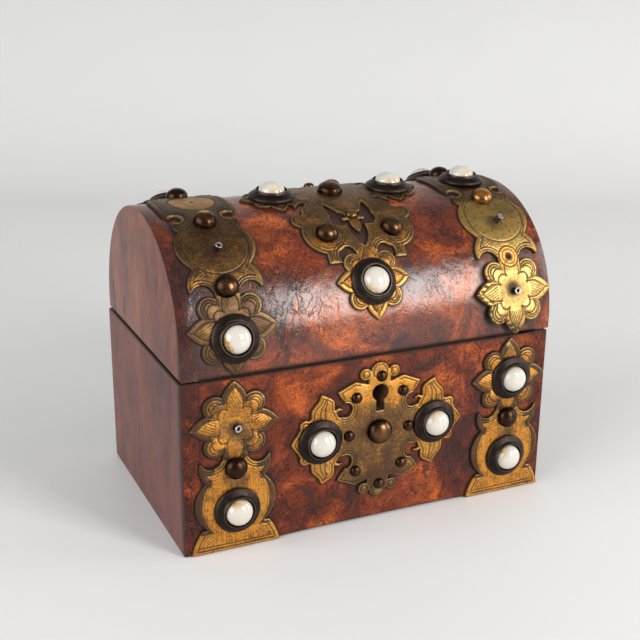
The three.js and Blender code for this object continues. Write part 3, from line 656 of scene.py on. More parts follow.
def soft_box(low, high, ease, sharp_x=None):
    """A box with chamfered edges, as points and faces; its side at sharp_x stays sharp."""
    points, ids = [], {}
    eases = [[0 if k == 0 and bound[k] == sharp_x else ease for bound in (low, high)] for k in range(3)]
    for corner in np.ndindex(2, 2, 2):
        for axis in range(3):
            place = [(low, high)[end][k] + (0 if k == axis else (1 - 2 * end) * eases[k][end])
                     for k, end in enumerate(corner)]
            ids[corner, axis] = len(points)
            points.append(Vector(place))
    middle = sum(points, Vector()) / len(points)
    faces = []
    for axis in range(3):
        a, b = [k for k in range(3) if k != axis]
        for end in (0, 1):
            ring = []
            for pa, pb in ((0, 0), (1, 0), (1, 1), (0, 1)):
                corner = [0, 0, 0]
                corner[axis], corner[a], corner[b] = end, pa, pb
                ring.append(ids[tuple(corner), axis])
            faces.append(ring)
        for pa, pb in np.ndindex(2, 2):
            ends = []
            for end in (0, 1):
                corner = [0, 0, 0]
                corner[axis], corner[a], corner[b] = end, pa, pb
                ends.append([ids[tuple(corner), a], ids[tuple(corner), b]])
            faces.append([ends[0][0], ends[1][0], ends[1][1], ends[0][1]])
    for corner in np.ndindex(2, 2, 2):
        faces.append([ids[corner, k] for k in range(3)])
    facing = []
    for face in faces:
        p = [points[k] for k in face]
        out = (p[1] - p[0]).cross(p[2] - p[0]).dot(sum(p, Vector()) / len(p) - middle)
        facing.append(tuple(face if out > 0 else reversed(face)))
    return points, facing


# Materials

PREFIX = "keepsake_"


class Bench:
    """A material under way: its nodes are added and joined in reading order."""

    def __init__(self, name):
        self.material = bpy.data.materials.new(PREFIX + name)
        self.material.use_nodes = True
        self.tree = self.material.node_tree
        self.tree.nodes.clear()
        self.shader = self.node("ShaderNodeBsdfPrincipled")
        output = self.node("ShaderNodeOutputMaterial")
        self.tree.links.new(self.shader.outputs[0], output.inputs[0])
        self.place = self.scaled(self.node("ShaderNodeTexCoord").outputs["Object"], (1000, 1000, 1000))

    def node(self, kind, **settings):
        one = self.tree.nodes.new(kind)
        for key, value in settings.items():
            setattr(one, key, value)
        return one

    def feed(self, socket, value):
        if isinstance(value, bpy.types.NodeSocket):
            self.tree.links.new(value, socket)
        else:
            socket.default_value = value

    def scaled(self, vector, scale):
        one = self.node("ShaderNodeMapping")
        self.feed(one.inputs["Vector"], vector)
        one.inputs["Scale"].default_value = scale
        return one.outputs[0]

    def maths(self, operation, a, b=0.0, c=0.0, clamp=False):
        one = self.node("ShaderNodeMath", operation=operation, use_clamp=clamp)
        for socket, value in zip(one.inputs, (a, b, c)):
            self.feed(socket, value)
        return one.outputs[0]

    def times(self, a, b, plus=0.0, clamp=False):
        return self.maths("MULTIPLY_ADD", a, b, plus, clamp)

    def noise(self, vector, scale, detail=4.0, rough=0.55, warp=0.0, colour=False):
        one = self.node("ShaderNodeTexNoise")
        self.feed(one.inputs["Vector"], vector)
        for key, value in (("Scale", scale), ("Detail", detail), ("Roughness", rough), ("Distortion", warp)):
            one.inputs[key].default_value = value
        return one.outputs["Color" if colour else "Fac"]

    def cells(self, vector, scale):
        one = self.node("ShaderNodeTexVoronoi")
        self.feed(one.inputs["Vector"], vector)
        one.inputs["Scale"].default_value = scale
        return one.outputs["Distance"]

    def bent(self, vector, scale, reach):
        """The place moved about by a slow noise."""
        drift = self.node("ShaderNodeVectorMath", operation="SUBTRACT")
        self.feed(drift.inputs[0], self.noise(vector, scale, 2.0, colour=True))
        drift.inputs[1].default_value = (0.5, 0.5, 0.5)
        moved = self.node("ShaderNodeVectorMath", operation="MULTIPLY_ADD")
        self.feed(moved.inputs[0], drift.outputs[0])
        moved.inputs[1].default_value = (reach, reach, reach)
        self.feed(moved.inputs[2], vector)
        return moved.outputs[0]

    def ramp(self, value, stops):
        one = self.node("ShaderNodeValToRGB")
        self.feed(one.inputs[0], value)
        ramp = one.color_ramp
        while len(ramp.elements) < len(stops):
            ramp.elements.new(0.5)
        for element, (where, colour) in zip(ramp.elements, stops):
            element.position = where
            element.color = (*colour, 1) if len(colour) == 3 else colour
        return one.outputs[0]

    def fade(self, value, low, high):
        one = self.node("ShaderNodeMapRange", clamp=True, interpolation_type="SMOOTHSTEP")
        self.feed(one.inputs["Value"], value)
        one.inputs["From Min"].default_value = low
        one.inputs["From Max"].default_value = high
        return one.outputs[0]

    def blend(self, part, a, b, kind="MIX"):
        one = self.node("ShaderNodeMix", data_type="RGBA", blend_type=kind)
        self.feed(one.inputs[0], part)
        for socket, value in ((one.inputs[6], a), (one.inputs[7], b)):
            self.feed(socket, (*value, 1) if isinstance(value, tuple) else value)
        return one.outputs[2]

    def mark(self, name):
        return self.node("ShaderNodeAttribute", attribute_name=name).outputs["Fac"]

    def split(self, vector):
        one = self.node("ShaderNodeSeparateXYZ")
        self.feed(one.inputs[0], vector)
        return one.outputs

    def bump(self, height, distance, strength=1.0, under=None):
        one = self.node("ShaderNodeBump")
        one.inputs["Strength"].default_value = strength
        one.inputs["Distance"].default_value = distance * MM
        self.feed(one.inputs["Height"], height)
        if under:
            self.feed(one.inputs["Normal"], under)
        return one.outputs[0]

    def finish(self, **sockets):
        for key, value in sockets.items():
            self.feed(self.shader.inputs[key.replace("_", " ")],
                      (*value, 1) if isinstance(value, tuple) and len(value) == 3 else value)
        return self.material


def shade_of(colour, factor):
    return tuple(min(1.0, part * factor) for part in colour)


def burr_colour(bench, wood):
    """Clouds, contour-like curls, dark plumes and pores of the burr, with its height for the bump."""
    dark, red, light = (tuple(c) for c in (wood.burr_dark, wood.burr_red, wood.burr_light))
    place = bench.bent(bench.place, 0.05, 14)
    # The figure mark holds light and dark places of the burr, and on the lid a painted highlight patch.
    figure = bench.mark("figure")
    cloud = bench.times(figure, 0.075, bench.noise(place, 0.05, 5.0, 0.6, 0.8))
    base = bench.ramp(cloud, [(0.36, shade_of(dark, 1.2)), (0.44, shade_of(red, 0.6)), (0.52, red),
                              (0.59, shade_of(light, 0.85)), (0.67, shade_of(light, 1.3))])
    curl = bench.noise(bench.bent(bench.place, 0.25, 3.5), 0.13, 2.5, 0.5, 1.0)
    rings = bench.maths("PINGPONG", bench.times(curl, 12), 0.5)
    lined = bench.ramp(rings, [(0.0, (0.3, 0.2, 0.18)), (0.16, (0.8, 0.74, 0.72)), (0.4, (1.2, 1.22, 1.2))])
    clear = bench.fade(bench.noise(bench.place, 0.09, 3.0), 0.36, 0.6)
    wooded = bench.blend(bench.times(clear, 0.55, 0.3), base, lined, "MULTIPLY")
    plume = bench.noise(bench.bent(bench.scaled(bench.place, (1, 1, 0.55)), 0.22, 7), 0.11, 5.0, 0.66, 1.6)
    dusk = bench.fade(bench.times(figure, -0.05, plume), 0.55, 0.67)
    shaded = bench.blend(bench.times(dusk, 0.72), wooded, shade_of(dark, 0.6))
    grit = bench.noise(bench.bent(bench.place, 0.7, 1.2), 1.15, 4.0, 0.75)
    gritty = bench.ramp(grit, [(0.34, (0.3, 0.22, 0.22)), (0.47, (0.95, 0.95, 0.95)), (0.66, (1.4, 1.45, 1.4))])
    speckled = bench.blend(0.85, shaded, gritty, "MULTIPLY")
    pores = bench.cells(bench.bent(bench.place, 0.6, 1.6), 0.55)
    thick = bench.fade(bench.noise(place, 0.15, 3.0), 0.4, 0.56)
    pore = bench.times(bench.fade(pores, 0.3, 0.1), thick)
    specked = bench.blend(bench.times(pore, 0.8), speckled, shade_of(dark, 0.25))
    ridge = bench.noise(bench.bent(bench.scaled(bench.place, (1, 0.6, 0.6)), 0.3, 4), 0.15, 4.0, 0.6, 1.2)
    split = bench.fade(bench.maths("ABSOLUTE", bench.maths("SUBTRACT", ridge, 0.5)), 0.035, 0.01)
    crazed = bench.times(split, bench.mark("crazed"))
    cracked = bench.blend(crazed, specked, shade_of(dark, 0.3))
    height = bench.times(rings, 0.16, bench.times(plume, 0.8))
    height = bench.times(grit, 0.12, height)
    sunk = bench.times(pore, 0.25, bench.times(crazed, 0.9))
    return cracked, bench.maths("SUBTRACT", height, sunk)


def end_colour(bench, wood):
    """Straight upright grain of the plain ends."""
    plain = tuple(wood.end_brown)
    place = bench.bent(bench.place, 0.03, 3)
    bands = bench.noise(bench.scaled(place, (1, 1, 0.3)), 0.05, 6.0, 0.75, 0.8)
    fibre = bench.noise(bench.bent(bench.scaled(place, (1, 1, 0.16)), 0.5, 1.2), 0.9, 5.0, 0.75)
    pores = bench.noise(bench.scaled(place, (1, 1, 0.09)), 2.6, 2.0, 0.5)
    base = bench.ramp(bands, [(0.34, shade_of(plain, 0.62)), (0.5, shade_of(plain, 0.95)),
                              (0.64, shade_of(plain, 1.2))])
    veil = bench.noise(bench.bent(bench.scaled(place, (1, 1, 0.4)), 0.1, 8), 0.07, 4.0, 0.65)
    base = bench.blend(0.9, base, bench.ramp(veil, [(0.38, (0.78, 0.9, 1.02)), (0.5, (1, 1, 1)),
                                                    (0.62, (1.12, 1.12, 0.92))]), "MULTIPLY")
    fine = bench.ramp(fibre, [(0.3, (0.42, 0.36, 0.36)), (0.45, (0.9, 0.9, 0.9)), (0.68, (1.35, 1.3, 1.25))])
    grained = bench.blend(0.9, base, fine, "MULTIPLY")
    streak = bench.fade(pores, 0.41, 0.3)
    return bench.blend(bench.times(streak, 0.6), grained, shade_of(plain, 0.22)), fibre


# Fine splits in the left end: their two ends as (y, z), and their width
END_CRACKS = (
    ((-36.4, 68.4), (-35.0, 55.0), 0.6), ((23.4, 78.5), (24.6, 69.5), 1.0), ((34.6, 10.2), (35.3, 7.0), 0.9),
    ((17.0, 101.0), (18.2, 96.0), 0.6), ((39.6, 80.0), (38.0, 66.0), 1.1),
)


def crack_line(bench, y, z, start, end, width):
    """A fine split in an upright board, from start to end given as (y, z)."""
    rise = (end[0] - start[0]) / (end[1] - start[1])
    middle_y = bench.times(z, rise, start[0] - rise * start[1])
    off = bench.maths("ABSOLUTE", bench.maths("SUBTRACT", y, middle_y))
    low, high = sorted((start[1], end[1]))
    inside = bench.times(bench.fade(z, low - 0.5, low + 1.5), bench.fade(z, high + 0.5, high - 1.5))
    return bench.times(bench.fade(off, width, width * 0.3), inside)


def make_burr(bench, wood, shine=0.46):
    colour, height = burr_colour(bench, wood)
    # The grime mark darkens the wood with soiling, and with painted shade round the mounts, at the seam, in the
    # keyhole and under the sprung flower.
    grime = bench.mark("grime")
    dirty_and_shaded = bench.blend(bench.times(grime, 0.92), colour, tuple(wood.grime))
    worn = bench.noise(bench.place, 0.12, 3.0)
    gloss = bench.maths("ADD", bench.times(worn, 0.2, 0.12), bench.times(grime, 0.4))
    slow = bench.noise(bench.bent(bench.place, 0.06, 9), 0.075, 2.0, 0.5, 0.6)
    normal = bench.bump(height, 0.22, 0.5, bench.bump(slow, 1.0, 0.5))
    return bench.finish(Base_Color=dirty_and_shaded, Roughness=gloss, Normal=normal, Specular_IOR_Level=shine)


def make_front(bench, wood):
    """The flat front's burr: duller than the lid's."""
    return make_burr(bench, wood, 0.2)


def make_end(bench, wood):
    colour, fibre = end_colour(bench, wood)
    x, y, z = bench.split(bench.place)
    wavy = bench.maths("ADD", y, bench.times(bench.noise(bench.place, 0.35, 3.0), 1.6))
    splits = 0.0
    for start, end, width in END_CRACKS:
        splits = bench.maths("MAXIMUM", splits, crack_line(bench, wavy, z, start, end, width))
    splits = bench.times(splits, bench.fade(x, 1, -1))
    front_line = bench.fade(wavy, -HALF_DEPTH + 4.4, -HALF_DEPTH + 2.2)
    # The band at the seam is painted shade of the gap between lid and base, over edges that are also stained
    # dark.
    seam = bench.fade(bench.maths("ABSOLUTE", bench.maths("SUBTRACT", z, BASE_HEIGHT + 0.4)), 1.3, 0.5)
    edges = bench.times(bench.maths("MAXIMUM", front_line, seam), 0.8)
    dark = bench.maths("MAXIMUM", splits, edges)
    # The lid's part of the end is painted lighter because it catches more light: painted light.
    above = bench.fade(z, BASE_HEIGHT, LID_BOTTOM)
    painted_light_on_lid_end = bench.blend(above, colour, (1.42, 1.65, 1.6), "MULTIPLY")
    cracked = bench.blend(dark, painted_light_on_lid_end, (0.012, 0.008, 0.008))
    normal = bench.bump(bench.maths("SUBTRACT", fibre, splits), 0.12, 0.7)
    return bench.finish(Base_Color=cracked, Roughness=0.45, Normal=normal, Specular_IOR_Level=0.3)


def long_grain(bench, plain, bend, bands, fibres, tones, lines):
    """Walnut whose grain runs along the box: its colour, and its fibres for the bump."""
    place = bench.bent(bench.place, *bend)
    band = bench.noise(bench.scaled(place, (bands[0], 1, 1)), bands[1], 5.0, 0.6, bands[2])
    fibre = bench.noise(bench.scaled(place, (fibres[0], 1, 1)), fibres[1], 4.0, 0.7)
    base = bench.ramp(band, [(where, shade_of(plain, tone)) for where, tone in tones])
    return bench.blend(0.9, base, bench.ramp(fibre, lines), "MULTIPLY"), fibre


def make_inside(bench, wood):
    colour, fibre = long_grain(bench, wood.inside_brown, (0.04, 3), (0.06, 0.22, 0.4), (0.05, 1.7),
                               ((0.35, 0.7), (0.55, 1), (0.7, 1.3)),
                               ((0.3, (0.7, 0.68, 0.66)), (0.62, (1.1, 1.1, 1.1))))
    return bench.finish(Base_Color=colour, Roughness=0.55, Normal=bench.bump(fibre, 0.1, 0.6))


def make_back(bench, wood):
    """The back board: plain walnut, a little glossier than the inside."""
    colour, fibre = long_grain(bench, shade_of(wood.end_brown, 0.9), (0.03, 4), (0.05, 0.13, 0.6), (0.04, 1.4),
                               ((0.32, 0.6), (0.5, 1), (0.68, 1.3)),
                               ((0.3, (0.66, 0.62, 0.6)), (0.6, (1.12, 1.1, 1.08))))
    return bench.finish(Base_Color=colour, Roughness=0.4, Normal=bench.bump(fibre, 0.1, 0.6), Coat_Weight=0.2,
                        Coat_Roughness=0.3)


def make_brass(bench, brass):
    cut, age, rub = bench.mark("cut"), bench.mark("age"), bench.mark("rub")
    blotch = bench.noise(bench.bent(bench.place, 0.2, 4), 0.16, 5.0, 0.65)
    speck = bench.noise(bench.place, 1.1, 3.0, 0.6)
    drift = bench.times(bench.maths("SUBTRACT", blotch, 0.5), 1.4,
                        bench.times(bench.maths("SUBTRACT", speck, 0.5), 1.05))
    aged = bench.maths("ADD", age, drift, clamp=True)
    yellowed = tuple((rubbed_and_highlit + golden) / 2 for rubbed_and_highlit, golden in zip(brass.bright, brass.gilt))
    colour = bench.ramp(aged, [(0.0, yellowed), (0.33, tuple(brass.gilt)),
                               (0.66, tuple(brass.olive)), (1.0, tuple(brass.bronze))])
    # The rub mark lightens the brass towards the bright colour: wear, and painted highlights and glints.
    rubbed_and_highlit = bench.times(rub, bench.ramp(speck, [(0.36, (0.45, 0.45, 0.45)), (0.55, (1, 1, 1))]))
    polished_and_highlit = bench.blend(rubbed_and_highlit, colour, tuple(brass.bright))
    dirt_and_shade = bench.times(cut, 0.95, clamp=True)
    pitted = bench.fade(bench.noise(bench.bent(bench.place, 0.8, 1.5), 0.75, 4.0, 0.75), 0.52, 0.63)
    spotted = bench.blend(bench.times(pitted, 0.62), polished_and_highlit, shade_of(brass.bronze, 0.8))
    worked = bench.blend(dirt_and_shade, spotted, tuple(brass.grime))
    metal = bench.times(cut, -0.4, 1.0, clamp=True)
    rough = bench.maths("ADD", bench.times(aged, 0.02, 0.4), bench.times(cut, 0.25))
    scratches = bench.noise(bench.scaled(bench.place, (3, 3, 0.5)), 0.9, 3.0, 0.7)
    normal = bench.bump(scratches, 0.1, 0.5, bench.bump(blotch, 0.3, 0.5))
    return bench.finish(Base_Color=worked, Metallic=metal, Roughness=rough, Normal=normal)


def make_stud(bench, brass):
    blotch = bench.noise(bench.bent(bench.place, 0.3, 3), 0.35, 4.0, 0.65)
    age = bench.mark("age")
    aged = bench.times(bench.maths("SUBTRACT", blotch, 0.5), 0.8, age, clamp=True)
    colour = bench.ramp(aged, [(0.0, tuple(brass.bright)), (0.33, tuple(brass.gilt)),
                               (0.66, tuple(brass.stud_brown)), (1.0, shade_of(brass.bronze, 0.36))])
    dented = bench.noise(bench.place, 0.7, 2.0)
    return bench.finish(Base_Color=colour, Metallic=1.0, Roughness=bench.times(blotch, 0.2, 0.18),
                        Normal=bench.bump(dented, 0.2, 0.4))


def make_collar(bench, part):
    dark = tuple(part.collar_colour)
    blotch = bench.noise(bench.place, 0.5, 4.0, 0.6)
    grit = bench.noise(bench.place, 3.0, 3.0, 0.7)
    worn = bench.mark("rub")
    base = bench.ramp(blotch, [(0.35, shade_of(dark, 0.6)), (0.55, dark), (0.75, shade_of(dark, 1.9))])
    # The lip and the outer edge are lighter: wear, with a painted highlight on the lip.
    lit = bench.blend(bench.times(worn, 0.75), base, shade_of(dark, 4.5))
    rough = bench.times(grit, 0.25, 0.28)
    return bench.finish(Base_Color=lit, Metallic=0.9, Roughness=rough, Normal=bench.bump(grit, 0.08, 0.5))


def make_stone(bench, part):
    white = tuple(part.stone_colour)
    cloud = bench.noise(bench.place, 0.3, 3.0)
    milk = bench.ramp(cloud, [(0.3, shade_of(white, 0.96)), (0.7, white)])
    stain = bench.mark("stain")
    ragged = bench.times(stain, bench.fade(bench.noise(bench.place, 0.8, 4.0, 0.6), 0.3, 0.55))
    brown = bench.ramp(ragged, [(0.0, (1, 1, 1)), (0.35, (0.86, 0.68, 0.42)), (0.8, tuple(part.stain_colour))])
    colour = bench.blend(1.0, milk, brown, "MULTIPLY")
    return bench.finish(Base_Color=colour, Roughness=0.12, Normal=bench.bump(cloud, 0.05, 0.3),
                        Subsurface_Weight=0.12, Subsurface_Scale=0.002, Coat_Weight=0.6, Coat_Roughness=0.05)


def make_steel(bench, part):
    grey = tuple(part.steel_colour)
    rust = bench.noise(bench.place, 1.4, 4.0, 0.6)
    colour = bench.ramp(rust, [(0.38, shade_of(grey, 0.35)), (0.52, grey), (0.7, shade_of(grey, 1.2))])
    shank = bench.blend(bench.mark("rub"), (0.16, 0.13, 0.11), (1, 1, 1))
    worn = bench.blend(1.0, colour, shank, "MULTIPLY")
    return bench.finish(Base_Color=worn, Metallic=0.9, Roughness=bench.times(rust, 0.3, 0.2),
                        Normal=bench.bump(rust, 0.08, 0.5))


def make_hinge_brass(bench, brass):
    blotch = bench.noise(bench.place, 0.3, 5.0, 0.65)
    colour = bench.ramp(blotch, [(0.3, tuple(brass.bronze)), (0.5, tuple(brass.olive)),
                                 (0.7, tuple(brass.gilt))])
    drawn = bench.noise(bench.scaled(bench.place, (0.3, 3, 3)), 1.0, 3.0, 0.7)
    return bench.finish(Base_Color=colour, Metallic=0.95, Roughness=bench.times(blotch, 0.25, 0.25),
                        Normal=bench.bump(drawn, 0.06, 0.5))


def make_floor(bench, stage):
    tone = tuple(stage.floor_colour)
    cloud = bench.noise(bench.place, 0.01, 3.0)
    colour = bench.ramp(cloud, [(0.3, shade_of(tone, 0.985)), (0.7, tone)])
    _, _, z = bench.split(bench.place)
    greyer = bench.blend(bench.fade(z, 10, 300), colour, (0.73, 0.73, 0.725), "MULTIPLY")
    grain = bench.noise(bench.place, 0.4, 3.0)
    return bench.finish(Base_Color=greyer, Roughness=0.5, Normal=bench.bump(grain, 0.05, 0.2))


# The maker of each finish, and the settings that it reads
MAKERS = {
    "burr_walnut": (make_burr, "wood"), "burr_front": (make_front, "wood"), "plain_walnut": (make_end, "wood"),
    "inside_walnut": (make_inside, "wood"), "plain_back": (make_back, "wood"),
    "engraved_brass": (make_brass, "brass"), "stud_brass": (make_stud, "brass"),
    "hinge_brass": (make_hinge_brass, "brass"), "dark_collar": (make_collar, "fittings"),
    "white_cabochon": (make_stone, "fittings"), "pin_steel": (make_steel, "fittings"),
    "pale_floor": (make_floor, "stage"),
}


def finish(name):
    """The named finish, made when it is first asked for."""
    ready = bpy.data.materials.get(PREFIX + name)
    if ready:
        return ready
    maker, group = MAKERS[name]
    return maker(Bench(name), getattr(bpy.context.scene, PREFIX + group))


# Settings

def length_setting(name, millimetres, description):
    return FloatProperty(name=name, description=description, default=millimetres * MM, min=0, soft_max=0.2,
                         unit="LENGTH", precision=5)


def colour_setting(name, colour, description):
    return FloatVectorProperty(name=name, description=description, default=colour, subtype="COLOR", size=3,
                               min=0, max=1)


def power_setting(name, watts, description):
    return FloatProperty(name=name, description=description, default=watts, min=0, unit="POWER")


class KeepsakeWood(bpy.types.PropertyGroup):
    edge_ease: length_setting("Edge ease", 0.45, "Chamfer of the boards' handled edges")
    foot_wear: length_setting("Foot wear", 0.9, "How far the front's lower edge is worn between the straps")
    burr_dark: colour_setting("Burr, dark", (0.04, 0.010, 0.007), "Plum-brown clouds of the burr walnut")
    burr_red: colour_setting("Burr, red", (0.15, 0.027, 0.008), "Main red-brown of the burr walnut")
    burr_light: colour_setting("Burr, light", (0.3, 0.062, 0.011), "Orange patches of the burr walnut")
    end_brown: colour_setting("Ends", (0.136, 0.048, 0.038), "Purple-brown of the plain walnut ends")
    # Also the colour of the painted shade round the mounts, at the seam, in the keyhole and under the sprung
    # flower.
    grime: colour_setting("Grime", (0.008, 0.005, 0.004), "Dirt along the mounts' edges and the seam")
    inside_brown: colour_setting("Inside", (0.15, 0.075, 0.045), "Unpolished walnut inside the box")


class KeepsakeBrass(bpy.types.PropertyGroup):
    cut_depth: length_setting("Graver depth", 0.17, "Depth of the engraved lines")
    grid: length_setting("Detail", 0.216, "Width of the mesh cells on the mounts that face the front")
    # Also the colour of the painted highlights on lit rims and of the painted glints.
    bright: colour_setting("Bright", (0.47, 0.33, 0.11), "Freshly rubbed yellow brass")
    gilt: colour_setting("Gilt", (0.6, 0.242, 0.036), "Golden brass of the front mounts")
    olive: colour_setting("Olive", (0.2, 0.105, 0.036), "Brass that has turned olive-brown")
    stud_brown: colour_setting("Stud brown", (0.17, 0.083, 0.035), "Brown of the domed studs")
    bronze: colour_setting("Bronze", (0.096, 0.05, 0.03), "Darkest tarnish on the lid's mounts")
    # Also painted on the sheets' sides and rims as painted shade, with the real soiling in the cut lines.
    grime: colour_setting("Grime", (0.012, 0.007, 0.005), "Old polish and dirt in the engraved lines")


class KeepsakeFittings(bpy.types.PropertyGroup):
    collar_radius: length_setting("Collar radius", 8.6, "Outer radius of the dark collars")
    collar_height: length_setting("Collar height", 3.2, "Height of the dark collars")
    stone_radius: length_setting("Cabochon radius", 4.95, "Radius of the white cabochons")
    stone_height: length_setting("Cabochon height", 4.7, "Height of the white cabochons above their seat")
    stud_radius: length_setting("Stud radius", 4.2, "Radius of the large domed studs")
    stud_height: length_setting("Stud height", 3.7, "Height of the large domed studs")
    boss_radius: length_setting("Boss radius", 4.9, "Radius of the two middle bosses")
    small_stud_radius: length_setting("Small stud radius", 2.2, "Radius of the lock plate's small studs")
    pin_radius: length_setting("Pin radius", 1.35, "Radius of the bare pins")
    pin_length: length_setting("Pin length", 2.7, "Length of the bare pins above the brass")
    collar_colour: colour_setting("Collar", (0.024, 0.016, 0.013), "Blackened collars")
    stone_colour: colour_setting("Cabochon", (0.57, 0.53, 0.46), "White of the cabochons")
    stain_colour: colour_setting("Stain", (0.5, 0.24, 0.06), "Old glue that has crept over a cabochon's rim")
    steel_colour: colour_setting("Pin", (0.42, 0.41, 0.4), "Grey of the bare pins")


class KeepsakeStage(bpy.types.PropertyGroup):
    floor_colour: colour_setting("Floor", (0.75, 0.745, 0.735), "Pale floor")
    focal_length: FloatProperty(name="Focal length", description="Camera lens, in millimetres", default=62.45,
                                min=20, max=200)
    window_power: power_setting("Window", 12.5, "Power of the tall soft light in front, at the right")
    side_power: power_setting("Side light", 5.0, "Power of the soft light at the right")
    fill_power: power_setting("Fill light", 14.0, "Power of the wide weak light at the left")
    sky: FloatProperty(name="Sky", description="Strength of the even light from all round", default=0.42, min=0,
                       max=3)


# Pieces

def lid_place(x):
    return lambda u, s, h: on_lid(x + u, s, h)


def front_place(x):
    return lambda u, z, h: on_front(x + u, z, h)


def stand(name, profile, surface, x, v, h, body, nodes, material, sides=48, lean=(0, 0), sharp=35,
          marks=None, wobble=0.0):
    """One turned fitting on the front or the lid."""
    matrix = seat_on(surface, x, v, h, *lean)
    points, faces = turned_mesh(profile, sides, matrix, wobble, len(name) + int(abs(x) * 10))
    flat = matrix.inverted()
    local = [flat @ p for p in points]
    made = {key: [rule(p) for p in local] for key, rule in (marks or {}).items()}
    return add_piece(name, points, faces, body, nodes, [finish(material)], sharp, made)


STONES = (
    # name, surface, x, place along, body, direction of the stain, strength of the stain
    ("base_left_strap_body", on_front, -55.4, 16.0, "base", (-0.3, 1.0), 0.65),
    ("base_right_strap_body", on_front, 57.9, 16.0, "base", (-0.8, 0.7), 0.5),
    ("base_right_strap_flower", on_front, 58.2, 49.2, "base", (0.1, 1.0), 0.1),
    ("lock_plate_left", on_front, -23.0, 36.6, "base", (0.2, 1.0), 0.1),
    ("lock_plate_right", on_front, 24.4, 36.6, "base", (-0.6, 0.9), 0.35),
    ("lid_left_strap_flower", on_lid, -55.4, 13.4, "lid", (-1.0, -0.45), 1.6),
    ("lid_left_strap_rear", on_lid, -55.6, 105.3, "lid", (0.3, 1.0), 0.6),
    ("lid_right_strap_crest", on_lid, 57.7, 73.2, "lid", (0.1, -1.0), 0.4),
    ("lid_right_strap_rear", on_lid, 57.7, 104.3, "lid", (0.1, -1.0), 0.6),
    ("lid_centre_flower", on_lid, -0.6, 26.6, "lid", (-0.8, -0.9), 0.5),
    ("lid_centre_left_arm", on_lid, -24.6, 72.8, "lid", (0.1, -1.0), 0.4),
    ("lid_centre_right_arm", on_lid, 24.2, 72.8, "lid", (-0.1, -1.0), 0.4),
)

STUDS = (
    # name, surface, x, place along, body, how dark
    ("base_left_strap_stud", on_front, -55.6, 32.6, "base", 1.1),
    ("base_right_strap_stud", on_front, 57.7, 32.6, "base", 1.05),
    ("lid_left_strap_neck_stud", on_lid, -55.6, 31.0, "lid", 0.9),
    ("lid_left_strap_upper_stud", on_lid, -55.6, 58.7, "lid", 0.85),
    ("lid_left_strap_rear_stud", on_lid, -55.6, 90.5, "lid", 0.85),
    ("lid_right_strap_upper_stud", on_lid, 57.7, 57.0, "lid", 0.44),
    ("lid_right_strap_rear_stud", on_lid, 57.7, 89.8, "lid", 0.95),
    ("lid_centre_left_stud", on_lid, -CENTRE_STUD[0], CENTRE_STUD[1], "lid", 0.84),
    ("lid_centre_right_stud", on_lid, *CENTRE_STUD, "lid", 0.84),
)

PINS = (
    # name, surface, x, place along, seat, how much of the pin shows, body, lean in x and up the surface
    ("base_left_strap_flower_pin", on_front, -55.0, 47.6, 1.2, 0.5, "base", (0.2, 0.05)),
    ("lid_left_strap_disc_pin", on_lid, -55.3, 45.2, 1.2, 0.85, "lid", (0.1, 0.05)),
    ("lid_right_strap_flower_pin", on_lid, 58.0, 16.8, 2.6, 0.45, "lid", (0.1, 0.0)),
    ("lid_right_strap_disc_pin", on_lid, 58.0, 44.5, 1.2, 1.05, "lid", (0.35, 0.12)),
)


# Light (+) and dark (-) places of the burr's figure: x, height or length up the lid, their reach, amount
FRONT_FIGURE = (
    (-34, 50, 9, 9, 1.1), (-30, 30, 8, 10, 0.2), (-26, 12, 14, 9, -0.6), (5, 8, 14, 5, -0.2),
    (31, 10, 8, 8, -0.9),
    (38, 20, 10, 13, -2.0), (36, 52, 8, 8, 0.1), (0, 64, 30, 4, 0.6), (-70, 30, 5, 30, -0.5),
    (70, 30, 5, 30, -0.4),
)
# The wide light places at (-5, 20) and (-14, 24) lie under the dome's highlight and brighten it: painted
# highlight.
LID_FIGURE_AND_HIGHLIGHT = (
    (-5, 20, 30, 7, 0.7), (-32, 50, 9, 7, 0.5), (-22, 62, 20, 9, -0.7), (-32, 31, 9, 8, -0.6),
    (-14, 24, 14, 7, 0.9), (-28, 8, 6, 6, -0.7),
    (-10, 7, 10, 5, 0.8), (4, 9, 5, 5, -0.6), (27, 8, 12, 7, -0.1), (34, 46, 10, 12, -0.9),
    (30, 26, 10, 8, 0.4),
    (72, 60, 6, 60, -0.8), (-71, 30, 8, 50, -1.9), (36, 66, 10, 9, -0.5),
)


END_FIGURE = -0.9     # the same for the burr strips on the base's ends

# Where the old polish has split into curling cracks
LID_CRAZING = ((-37, 25, 9, 10, 1.6), (-24, 20, 7, 4, 0.7), (-38, 8, 5, 6, 0.7), (28, 22, 7, 5, 0.4))


def figure_at(x, v, places):
    """How light or dark the burr is at a place."""
    tone = np.zeros(np.broadcast(x, v).shape)
    for px, pv, reach_x, reach_v, amount in places:
        tone = tone + amount * np.exp(-((x - px) / reach_x) ** 2 - ((v - pv) / reach_v) ** 2)
    return tone


def grime_and_shade_beside(distance):
    """Old soiling and painted shade on the wood along a mount's outline."""
    return np.exp(-(np.maximum(distance, 0) / 0.75) ** 2) * 0.9


